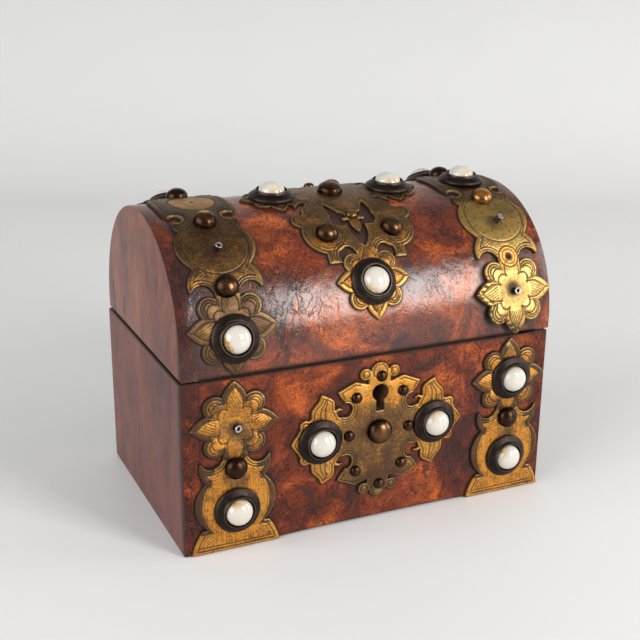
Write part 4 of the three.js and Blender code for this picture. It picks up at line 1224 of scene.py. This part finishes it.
def build_front_board(wood):
    """The front board: burr face, keyhole and a lower edge that is worn between the straps."""
    wear = wood.foot_wear / MM
    ease = wood.edge_ease / MM

    def outline(x, z):
        worn = wear * np.clip(1 - (x / 46) ** 4, 0, 1)
        return most(np.abs(x) - INNER_HALF, worn - z, z - BASE_HEIGHT, -keyhole(x, z))

    across = np.linspace(-INNER_HALF - 0.02, INNER_HALF + 0.02, 260)
    along = np.concatenate([np.arange(-0.05, 1.6, 0.15), np.arange(1.8, 64.8, 0.6),
                            np.arange(64.9, BASE_HEIGHT + 0.1, 0.15)])
    flat, faces, rim = cut_sheet(outline, across, along)
    x, z = flat[:, 0], flat[:, 1]
    low = z - wear * np.clip(1 - (x / 46) ** 4, 0, 1)
    fall = np.maximum(np.clip(1 - (BASE_HEIGHT - z) / ease, 0, 1), np.clip(1 - low / ease, 0, 1))
    face = on_front(x, z, -ease * fall ** 2)
    back = on_front(x, z, -WALL)
    count = len(flat)
    walls = [(b, a, a + count, b + count) for a, b in rim]
    behind = [tuple(k + count for k in reversed(ring)) for ring in faces]
    mounts = least(*(base_strap(x - middle, z) for middle in STRAP_X), lock_plate(x - CENTRE_X, z))
    # Soiling and painted shade round the mounts, painted shade of the seam's gap along the top edge, darker
    # along the worn lower edge and the left corner, and painted shade in the keyhole.
    grime = most(grime_and_shade_beside(mounts), line(BASE_HEIGHT - z, 0.8), 0.8 * line(low, 0.7),
                  line(x + INNER_HALF, 0.6),
                 1.1 * (keyhole(x, z) < 1))
    piece = add_piece("front_board", np.concatenate([face, back]), faces + behind + walls, "base",
                      ["base_front_board"], [finish("burr_front"), finish("inside_walnut")], 50,
                      {"grime": np.concatenate([grime, 1.1 * (keyhole(x, z) < 1)]),
                       "figure": np.tile(figure_at(x, z, FRONT_FIGURE), 2)})
    for polygon in piece.data.polygons[len(faces):]:
        polygon.material_index = 1


def build_base_end(name, x_low, x_high, node, ease):
    inner = min(x_low, x_high, key=abs)
    points, faces = soft_box((x_low, -HALF_DEPTH, 0), (x_high, HALF_DEPTH, BASE_HEIGHT), ease, inner)
    kinds = ["plain_walnut", "burr_front"]
    piece = add_piece(name, points, faces, "base", [node], [finish(kind) for kind in kinds], 25,
                      {"figure": np.full(len(points), END_FIGURE)})
    for polygon in piece.data.polygons:
        polygon.material_index = 1 if polygon.normal.y < -0.9 else 0


def build_lid_shell(ease):
    """The curved lid between its two ends, hollow below, with recesses for the hinges' leaves at the back."""
    half, deep, roof = HINGE_WIDTH / 2 + 0.3, HALF_DEPTH - 5.8, LID_BOTTOM + 1.5
    steps = [x + turn * half + side for x in (-HINGE_X, HINGE_X) for turn in (-1, 1) for side in (-0.01, 0.01)]
    columns = np.sort(np.concatenate([np.linspace(-INNER_HALF, INNER_HALF, 245), steps]))
    outer = np.linspace(0, SECTION_LENGTH, 225)
    inner = np.linspace(SECTION_LENGTH, 0, 61)
    near_edge = np.minimum(outer, SECTION_LENGTH - outer)
    front = on_lid(0, outer, -ease * np.clip(1 - near_edge / ease, 0, 1) ** 2)
    back = on_lid(0, inner, -WALL)
    size = len(outer) + 2 + len(inner)
    rings = []
    for x in columns:
        skin = front.copy()
        pocket = np.array([[0, deep, LID_BOTTOM], [0, deep - 0.02, LID_BOTTOM]])
        if abs(abs(x) - HINGE_X) < half:
            behind = (skin[:, 1] > 0) & (skin[:, 2] < roof)
            skin[behind, 2] = roof + (skin[behind, 2] - LID_BOTTOM) * 0.01
            pocket[0, 2] = roof
        rings.append(np.concatenate([skin, pocket, back]) + np.array([x, 0, 0]))
    points = np.concatenate(rings)
    faces = []
    for i in range(len(columns) - 1):
        for k in range(size):
            n = (k + 1) % size
            faces.append((i * size + k, (i + 1) * size + k, (i + 1) * size + n, i * size + n))
    faces += [list(range(size)), list(range((len(columns) - 1) * size, len(columns) * size))[::-1]]
    x, s = np.meshgrid(columns, outer, indexing="ij")
    mounts = least(*(lid_strap(x - middle, s) for middle in STRAP_X), centre_plate(x, s))
    dirt_and_shade = np.zeros((len(columns), size))
    off_strap = above(lid_strap(x - STRAP_X[1] + 0.5, s + 0.7))
    # Painted shadow under the sprung flower of the right strap.
    shadow_under_sprung = 0.95 * line(off_strap, 1.5) * (s < 30)
    corner = 0.85 * line(x + INNER_HALF, 0.6)
    # Painted shade, with soiling, on the wood seen through the centre plate's piercing.
    pierced = 0.8 * (np.abs(x - CENTRE_X) < 12) * (np.abs(down_centre(s) - 24) < 12)
    # Soiling and painted shade round the mounts, and painted shade of the seam's gap along the lid's lower
    # edges; the left corner line is a dark edge.
    dirt_and_shade[:, :len(outer)] = most(grime_and_shade_beside(mounts), shadow_under_sprung, corner, pierced, line(s, 0.8),
                                line(SECTION_LENGTH - s, 0.6))
    tone = np.zeros((len(columns), size))
    tone[:, :len(outer)] = figure_at(x, s, LID_FIGURE_AND_HIGHLIGHT)
    crazed = np.zeros((len(columns), size))
    crazed[:, :len(outer)] = np.clip(figure_at(x, s, LID_CRAZING), 0, 1)
    piece = add_piece("lid_shell", points, faces, "lid", ["lid_dome"],
                      [finish("burr_walnut"), finish("inside_walnut")], 40,
                      {"grime": dirt_and_shade.ravel(), "figure": tone.ravel(), "crazed": crazed.ravel()})
    for k, polygon in enumerate(piece.data.polygons):
        polygon.material_index = 0 if k < len(faces) - 2 and k % size < len(outer) - 1 else 1


def build_lid_end(name, outer_x, inner_x, node, ease):
    """One flat arched end of the lid; its curved rim carries the burr."""
    s = np.linspace(0, SECTION_LENGTH, 161)
    sign = math.copysign(1, outer_x - inner_x)
    rings = [on_lid(inner_x, s, 0 * s), on_lid(outer_x - sign * ease, s, 0 * s),
             on_lid(outer_x - sign * 0.3 * ease, s, 0 * s - 0.3 * ease), on_lid(outer_x, s, 0 * s - ease)]
    for ring, inset in zip(rings[1:], (0, 0.3 * ease, ease)):
        ring[:, 2] = np.maximum(ring[:, 2], LID_BOTTOM + inset)
        ring[:, 1] = np.clip(ring[:, 1], -HALF_DEPTH + inset, HALF_DEPTH - inset)
    size = len(s)
    faces = [list(range(size))[::-1], list(range(3 * size, 4 * size))]
    for i in range(3):
        for k in range(size):
            n = (k + 1) % size
            faces.append([i * size + k, i * size + n, (i + 1) * size + n, (i + 1) * size + k])
    figure = np.tile(figure_at(math.copysign(70, outer_x), s, LID_FIGURE_AND_HIGHLIGHT), 4)
    piece = add_piece(name, np.concatenate(rings), faces, "lid", [node],
                      [finish("plain_walnut"), finish("burr_walnut")], 25, {"figure": figure})
    face_outwards(piece)
    for polygon in piece.data.polygons:
        polygon.material_index = 0 if abs(polygon.normal.x) > 0.6 or polygon.normal.z < -0.5 else 1


def face_outwards(piece):
    """Turns every face of a closed convex piece outwards."""
    mesh = piece.data
    middle = sum((v.co for v in mesh.vertices), Vector()) / len(mesh.vertices)
    if sum((p.center - middle).dot(p.normal) * p.area for p in mesh.polygons) < 0:
        mesh.flip_normals()


def collar_profile(part):
    r, h = part.collar_radius / MM, part.collar_height / MM
    return [(0, 0), (r, 0), (r + 0.12, 0.35), (r + 0.1, 0.8), (r - 0.15, 1.15), (r - 0.7, 1.5), (r - 1.4, 1.95),
            (r - 2.05, 2.3), (r - 2.3, 2.32), (r - 2.42, 2.5), (r - 2.5, h - 0.2), (r - 2.68, h),
            (r - 2.9, h), (r - 3.06, h - 0.25), (r - 3.12, CUP_FLOOR - 0.3), (0, CUP_FLOOR - 0.3)]


def collar_wear_and_highlight(part):
    lip = part.collar_radius / MM - 2.75
    edge = part.collar_radius / MM - 0.1

    def rule(p):
        radius = math.hypot(p.x, p.y)
        high = p.z > 2.6
        # The lip's top is lighter: wear, and a painted highlight on the raised lip.
        on_lip = 0.9 * math.exp(-((radius - lip) / 0.3) ** 2) * high
        return max(on_lip, 0.25 * math.exp(-((radius - edge) / 0.4) ** 2))
    return rule


def stain_rule(direction, strength, radius):
    run = Vector(direction).normalized()

    def rule(p):
        toward = (p.x * run.x + p.y * run.y) / radius
        return max(0.0, min(1.0, strength * (2.6 * toward - 1.55)))
    return rule


def build_stones(part, body):
    radius = part.stone_radius / MM
    height = part.stone_height / MM
    profile = [(0, 0), (radius - 0.2, 0), (radius, 0.3), (radius, 1.1)]
    for k in range(1, 17):
        angle = math.pi / 2 * k / 16
        out = radius * math.cos(angle) ** 0.92 if k < 16 else 0
        profile.append((out, 1.1 + (height - 1.1) * math.sin(angle)))
    for name, surface, x, v, on, direction, strength in STONES:
        if on != body:
            continue
        stand(f"{name}_ring", collar_profile(part), surface, x, v, PLATE_TOP, body, [f"{name}_collar"],
              "dark_collar", 64, marks={"rub": collar_wear_and_highlight(part)}, wobble=0.004)
        stand(f"{name}_stone", profile, surface, x, v, PLATE_TOP + CUP_FLOOR, body, [f"{name}_cabochon"],
              "white_cabochon", 64, marks={"stain": stain_rule(direction, strength, radius)},
              wobble=0.003)


def stud_age(dark, radius, worn_cap=0.0):
    """Darker towards the rim; a worn cap shows bare metal at its upper side."""
    def rule(p):
        rim = math.hypot(p.x, p.y) / radius
        cap = worn_cap * max(0.0, 1 - math.hypot(p.x, p.y - 0.45 * radius) / (0.5 * radius))
        return dark + 0.3 * max(0.0, rim - 0.62) / 0.38 - 0.2 * max(0.0, 0.5 - rim) - cap
    return rule


def build_studs(part, body):
    radius, height = part.stud_radius / MM, part.stud_height / MM
    for name, surface, x, v, on, dark in STUDS:
        if on == body:
            stand(f"{name}_head", dome_profile(radius, height), surface, x, v, PLATE_TOP, body, [name],
                  "stud_brass",
                  marks={"age": stud_age(dark, radius, 2.5 * (name == "lid_left_strap_upper_stud"))},
                  wobble=0.012)


def build_boss(part, name, surface, x, v, body, node):
    radius = part.boss_radius / MM
    stand(name, dome_profile(radius, part.stud_height / MM + 0.2), surface, x, v, PLATE_TOP, body, [node],
          "stud_brass", marks={"age": stud_age(0.8, radius)}, wobble=0.006)


def stud_group(name, surface, places, radius, height, body, dark):
    """Several riveted studs in one piece."""
    parts, ages = [], []
    for k, (x, v) in enumerate(places):
        matrix = seat_on(surface, x, v, PLATE_TOP - 0.1)
        points, faces = turned_mesh(dome_profile(radius, height, 9), 36, matrix, 0.02, k)
        rule = stud_age(dark, radius)
        ages += [rule(matrix.inverted() @ p) for p in points]
        parts.append((points, faces))
    points, faces = join_meshes(parts)
    return add_piece(name, points, faces, body, (), [finish("stud_brass")], 35, {"age": ages})


def build_pins(part, body):
    r = part.pin_radius / MM
    for name, surface, x, v, seat, shown, on, lean in PINS:
        length = shown * part.pin_length / MM
        profile = [(0, -0.6), (r * 0.92, -0.6), (r * 0.92, length - 0.5), (r, length - 0.2), (r * 0.9, length),
                   (r * 0.62, length), (r * 0.52, length - 0.2), (r * 0.48, length - 1.0), (0, length - 1.1)]
        if on == body:
            stand(f"{name}_stub", profile, surface, x, v, seat, body, [name], "pin_steel", 32, lean,
                  marks={"rub": lambda p, top=length - 0.3: float(p.z > top)}, wobble=0.03)


def build_hinge(x, side_name, leaf):
    """One leaf of a small butt hinge with its knuckles."""
    half, tongue, gap = HINGE_WIDTH / 2, HINGE_WIDTH / 6, 0.3
    runs = [(-half, -tongue), (tongue, half)] if leaf == "base" else [(-tongue + gap, tongue - gap)]
    sign = -1 if leaf == "base" else 1
    leaf_z = HINGE_Z + sign * HINGE_LEAF_RISE
    under, over = leaf_z - HINGE_LEAF_HALF, leaf_z + HINGE_LEAF_HALF
    parts = [soft_box((x - half, HALF_DEPTH - HINGE_LEAF_DEPTH, under), (x + half, HALF_DEPTH, over), 0.12)]
    lying = Matrix.Translation((0, HINGE_Y, HINGE_Z)) @ Matrix.Rotation(math.pi / 2, 4, "Y")
    for start, end in runs:
        low, high = x + start, x + end
        ring = [(0, low), (HINGE_BARREL - 0.15, low), (HINGE_BARREL, low + 0.15), (HINGE_BARREL, high - 0.15),
                (HINGE_BARREL - 0.15, high), (0, high)]
        parts.append(turned_mesh(ring, 32, lying))
        parts.append(soft_box((low, HALF_DEPTH - 0.5, under), (high, HINGE_Y, over), 0.1))
    points, faces = join_meshes(parts)
    return add_piece(f"hinge_{side_name}_{leaf}", points, faces, leaf, [f"hinge_{side_name}_{leaf}_leaf"],
                     [finish("hinge_brass")], 35)


def dress_node(node, *kinds, ease=0.0):
    """Gives a node of the frame its finish, and eases its edges."""
    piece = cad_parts[node]
    piece.data.materials.clear()
    for kind in kinds:
        piece.data.materials.append(finish(kind))
    if ease:
        soft = piece.modifiers.new("ease", "BEVEL")
        soft.width, soft.segments, soft.limit_method, soft.angle_limit = ease, 2, "ANGLE", math.radians(50)


class PieceOperator:
    bl_options = {"REGISTER", "UNDO"}

    def execute(self, context):
        self.build(context.scene)
        return {"FINISHED"}


class KEEPSAKE_OT_base_woodwork(PieceOperator, bpy.types.Operator):
    """Build the base's boards"""
    bl_idname = "keepsake.base_woodwork"
    bl_label = "Base woodwork"

    def build(self, scene):
        wood = scene.keepsake_wood
        ease = wood.edge_ease / MM
        build_front_board(wood)
        build_base_end("left_end", -HALF_LENGTH, -INNER_HALF, "base_left_end", ease)
        build_base_end("right_end", INNER_HALF, HALF_LENGTH, "base_right_end", ease)
        dress_node("base_back_board", "plain_back", ease=0.2 * MM)
        dress_node("base_bottom_board", "inside_walnut", ease=0.2 * MM)


class KEEPSAKE_OT_lid_woodwork(PieceOperator, bpy.types.Operator):
    """Build the lid's curved shell and its two ends"""
    bl_idname = "keepsake.lid_woodwork"
    bl_label = "Lid woodwork"

    def build(self, scene):
        ease = scene.keepsake_wood.edge_ease / MM
        build_lid_shell(ease)
        build_lid_end("lid_left_panel", -HALF_LENGTH, -INNER_HALF, "lid_left_end", ease)
        build_lid_end("lid_right_panel", HALF_LENGTH, INNER_HALF, "lid_right_end", ease)


class KEEPSAKE_OT_base_straps(PieceOperator, bpy.types.Operator):
    """Build the two engraved straps on the base's front"""
    bl_idname = "keepsake.base_straps"
    bl_label = "Base straps"

    def build(self, scene):
        step = scene.keepsake_brass.grid / MM
        across = np.arange(-18, 18.1, step)
        along = np.arange(BASE_FOOT_Z - step, BASE_FLOWER_Z + FLOWER_TIP + step, step)
        for x, side in zip(STRAP_X, ("left", "right")):
            engraved_plate(f"base_{side}_mount", base_strap, chase_base_strap(side), across, along,
                           front_place(x), "base", [f"base_{side}_strap"])


class KEEPSAKE_OT_lock_mount(PieceOperator, bpy.types.Operator):
    """Build the engraved lock plate with its studs and boss"""
    bl_idname = "keepsake.lock_mount"
    bl_label = "Lock mount"

    def build(self, scene):
        part = scene.keepsake_fittings
        step = scene.keepsake_brass.grid / MM
        engraved_plate("lock_mount", lock_plate, chase_lock, np.arange(-37, 37.1, step),
                       np.arange(LOCK_Z - 28.4, LOCK_Z + 28.4, step), front_place(CENTRE_X), "base",
                       ["lock_plate"])
        places = []
        for turn in (-1, 1):
            places += [(turn * 12.4, 0), (0.5, turn * 21.8), (-9.6, turn * 14.7), (9.6, turn * 14.7)]
        stud_group("lock_mount_studs", on_front, [(CENTRE_X + u, LOCK_Z + v) for u, v in places],
                   part.small_stud_radius / MM, SMALL_STUD_HEIGHT, "base", 1.0)
        build_boss(part, "lock_mount_boss", on_front, CENTRE_X, LOCK_Z, "base", "lock_plate_boss")
        dress_node("lock_case", "pin_steel", ease=0.3 * MM)


class KEEPSAKE_OT_lid_straps(PieceOperator, bpy.types.Operator):
    """Build the two engraved straps that run over the lid"""
    bl_idname = "keepsake.lid_straps"
    bl_label = "Lid straps"

    def build(self, scene):
        part = scene.keepsake_fittings
        step = scene.keepsake_brass.grid / MM
        tip = LID_FLOWER_S - FLOWER_TIP
        back = 2 * LID_CREST_S - tip
        along = np.concatenate([np.arange(tip - 0.1, LID_CREST_S, step),
                                np.arange(LID_CREST_S, back + 0.4, 2.2 * step)])
        across = np.arange(-18, 18.1, step)
        for x, side, slot in zip(STRAP_X, ("left", "right"), ("dark_brass", "bright_brass")):
            place = lid_place(x) if side == "left" else sprung_place(x)
            engraved_plate(f"lid_{side}_mount", lid_strap, chase_lid_strap(side), across, along, place, "lid",
                           [f"lid_{side}_strap"])
            stud_group(f"lid_{side}_rear_neck_stud", on_lid, [(x, 2 * LID_CREST_S - 31)],
                       part.stud_radius / MM, part.stud_height / MM, "lid", 0.85)
            stud_group(f"lid_{side}_rear_flower_stud", on_lid, [(x, 2 * LID_CREST_S - LID_FLOWER_S)],
                       part.small_stud_radius / MM, SMALL_STUD_HEIGHT, "lid", 0.85)


def sprung_place(x):
    """The right strap's lower flower has sprung away from the wood, most at its left petals."""
    def place(u, s, h):
        lift = 1.6 * np.clip(1 - s / 26, 0, 1) ** 1.5 + 0.5 * np.clip(1 - s / 42, 0, 1) ** 0.5
        return on_lid(x + u, s, h + lift * (1 - 0.012 * u))
    return place


class KEEPSAKE_OT_lid_centre(PieceOperator, bpy.types.Operator):
    """Build the engraved centre plate of the lid with its studs and boss"""
    bl_idname = "keepsake.lid_centre"
    bl_label = "Lid centre"

    def build(self, scene):
        part = scene.keepsake_fittings
        step = scene.keepsake_brass.grid / MM
        tip = CENTRE_FLOWER_S - FLOWER_TIP * CENTRE_FLOWER_SCALE
        back = 2 * CENTRE_CREST_S - tip
        along = np.concatenate([np.arange(tip - 0.1, CENTRE_CREST_S, step),
                                np.arange(CENTRE_CREST_S, back + 0.4, 2.2 * step)])
        engraved_plate("lid_centre_mount", centre_plate, chase_centre, np.arange(-38, 38.1, step), along,
                       lid_place(0), "lid", ["lid_centre_plate"])
        mirrored = [2 * CENTRE_CREST_S - s for s in (OPENING_STUD_S, CENTRE_FLOWER_S, CENTRE_STUD[1])]
        stud_group("lid_centre_small_studs", on_lid, [(0, OPENING_STUD_S), (0, mirrored[0]), (0, mirrored[1])],
                   part.small_stud_radius / MM, SMALL_STUD_HEIGHT, "lid", 0.6)
        stud_group("lid_centre_rear_studs", on_lid, [(-13.2, mirrored[2]), (13.2, mirrored[2])],
                   part.stud_radius / MM, part.stud_height / MM, "lid", 0.8)
        build_boss(part, "lid_centre_boss", on_lid, 0, CENTRE_CREST_S, "lid", "lid_centre_crest_boss")


class KEEPSAKE_OT_cabochons(PieceOperator, bpy.types.Operator):
    """Build the white cabochons in their dark collars"""
    bl_idname = "keepsake.cabochons"
    bl_label = "Cabochons"

    def build(self, scene):
        for body in ("base", "lid"):
            build_stones(scene.keepsake_fittings, body)


class KEEPSAKE_OT_studs_and_pins(PieceOperator, bpy.types.Operator):
    """Build the large domed studs and the bare pins of the lost cabochons"""
    bl_idname = "keepsake.studs_and_pins"
    bl_label = "Studs and pins"

    def build(self, scene):
        for body in ("base", "lid"):
            build_studs(scene.keepsake_fittings, body)
            build_pins(scene.keepsake_fittings, body)


class KEEPSAKE_OT_hinges(PieceOperator, bpy.types.Operator):
    """Build the two butt hinges at the back"""
    bl_idname = "keepsake.hinges"
    bl_label = "Hinges"

    def build(self, scene):
        for x, side in ((-HINGE_X, "left"), (HINGE_X, "right")):
            for leaf in ("base", "lid"):
                build_hinge(x, side, leaf)


class KEEPSAKE_OT_stage(PieceOperator, bpy.types.Operator):
    """Build the pale floor, the soft lights and the camera"""
    bl_idname = "keepsake.stage"
    bl_label = "Stage"

    def build(self, scene):
        stage = scene.keepsake_stage
        build_floor(scene)
        world = bpy.data.worlds.new("studio")
        world.use_nodes = True
        background = world.node_tree.nodes["Background"]
        background.inputs["Color"].default_value = (0.96, 0.98, 1.0, 1)
        background.inputs["Strength"].default_value = stage.sky
        scene.world = world
        for name, power, size, place, colour in LIGHTS:
            add_softbox(scene, name, getattr(stage, power), size, place, colour)
        add_camera(scene, stage.focal_length)
        scene.view_settings.view_transform = "Standard"
        scene.view_settings.look = "None"


# The soft lights: name, setting of the power, size and place in metres, colour
LIGHTS = (
    ("window", "window_power", (0.38, 0.6), (0.536, -1.008, 0.48), (1.0, 0.985, 0.96)),
    ("side_light", "side_power", (0.55, 0.6), (1.09, -0.397, 0.39), (1.0, 0.99, 0.97)),
    ("fill_light", "fill_power", (1.1, 0.9), (-1.15, -0.25, 0.5), (0.97, 0.98, 1.0)),
)


def build_floor(scene, reach=5.0, near=0.5, bend=0.35, height=3.0):
    """A pale floor that sweeps up into a wall behind the box, square to the camera."""
    azimuth = math.radians(VIEW_AZIMUTH)
    away = Vector((-math.sin(azimuth), math.cos(azimuth), 0))
    side = Vector((away.y, -away.x, 0))
    profile = [(-reach, 0), (near, 0)]
    for k in range(1, 25):
        angle = math.pi / 2 * k / 24
        profile.append((near + bend * math.sin(angle), bend * (1 - math.cos(angle))))
    profile.append((near + bend, height))
    points = [away * far + side * turn * reach + Vector((0, 0, up)) for far, up in profile for turn in (1, -1)]
    faces = [(2 * k, 2 * k + 2, 2 * k + 3, 2 * k + 1) for k in range(len(profile) - 1)]
    mesh = bpy.data.meshes.new("floor")
    mesh.from_pydata(points, [], faces)
    mesh.shade_smooth()
    mesh.materials.append(finish("pale_floor"))
    floor = bpy.data.objects.new("floor", mesh)
    scene.collection.objects.link(floor)


def add_softbox(scene, name, power, size, place, colour):
    light = bpy.data.lights.new(name, "AREA")
    light.shape, light.size, light.size_y = "RECTANGLE", *size
    light.energy, light.color = power, colour
    lamp = bpy.data.objects.new(name, light)
    lamp.location = place
    aim = Vector((0, 0, 0.06)) - Vector(place)
    lamp.rotation_mode = "QUATERNION"
    lamp.rotation_quaternion = aim.to_track_quat("-Z", "Y")
    scene.collection.objects.link(lamp)


def add_camera(scene, focal_length):
    """The camera stands at the photograph's viewing angle."""
    azimuth, elevation, roll = (math.radians(a) for a in (VIEW_AZIMUTH, VIEW_ELEVATION, VIEW_ROLL))
    back = Vector((math.sin(azimuth) * math.cos(elevation), -math.cos(azimuth) * math.cos(elevation),
                   math.sin(elevation)))
    right = Vector((math.cos(azimuth), math.sin(azimuth), 0))
    up = back.cross(right)
    across = right * math.cos(roll) + up * math.sin(roll)
    above = up * math.cos(roll) - right * math.sin(roll)
    data = bpy.data.cameras.new("camera")
    data.lens, data.sensor_width = focal_length, 36
    data.clip_start, data.clip_end = 0.01, 30
    camera = bpy.data.objects.new("camera", data)
    turn = Matrix((across, above, back)).transposed().to_4x4()
    camera.matrix_world = Matrix.Translation(Vector(CAMERA_PLACE)) @ turn
    scene.collection.objects.link(camera)
    scene.camera = camera


class KEEPSAKE_PT_panel(bpy.types.Panel):
    bl_label = "Keepsake box"
    bl_idname = "KEEPSAKE_PT_panel"
    bl_space_type = "VIEW_3D"
    bl_region_type = "UI"
    bl_category = "Keepsake"

    def draw(self, context):
        layout = self.layout
        for operator in OPERATORS:
            layout.operator(operator.bl_idname)
        for group in ("keepsake_wood", "keepsake_brass", "keepsake_fittings", "keepsake_stage"):
            settings = getattr(context.scene, group)
            box = layout.box()
            for key in settings.bl_rna.properties.keys():
                if key not in ("rna_type", "name"):
                    box.prop(settings, key)


OPERATORS = (
    KEEPSAKE_OT_stage, KEEPSAKE_OT_base_woodwork, KEEPSAKE_OT_lid_woodwork, KEEPSAKE_OT_base_straps,
    KEEPSAKE_OT_lock_mount, KEEPSAKE_OT_lid_straps, KEEPSAKE_OT_lid_centre, KEEPSAKE_OT_cabochons,
    KEEPSAKE_OT_studs_and_pins, KEEPSAKE_OT_hinges,
)
GROUPS = {
    "keepsake_wood": KeepsakeWood, "keepsake_brass": KeepsakeBrass,
    "keepsake_fittings": KeepsakeFittings, "keepsake_stage": KeepsakeStage,
}


def register():
    for one in (*GROUPS.values(), *OPERATORS, KEEPSAKE_PT_panel):
        bpy.utils.register_class(one)
    for key, group in GROUPS.items():
        setattr(bpy.types.Scene, key, PointerProperty(type=group))


def unregister():
    for key in GROUPS:
        delattr(bpy.types.Scene, key)
    for one in reversed((*GROUPS.values(), *OPERATORS, KEEPSAKE_PT_panel)):
        bpy.utils.unregister_class(one)


def main():
    register()
    for operator in OPERATORS:
        group, name = operator.bl_idname.split(".")
        getattr(getattr(bpy.ops, group), name)()


if __name__ == "__main__":
    main()
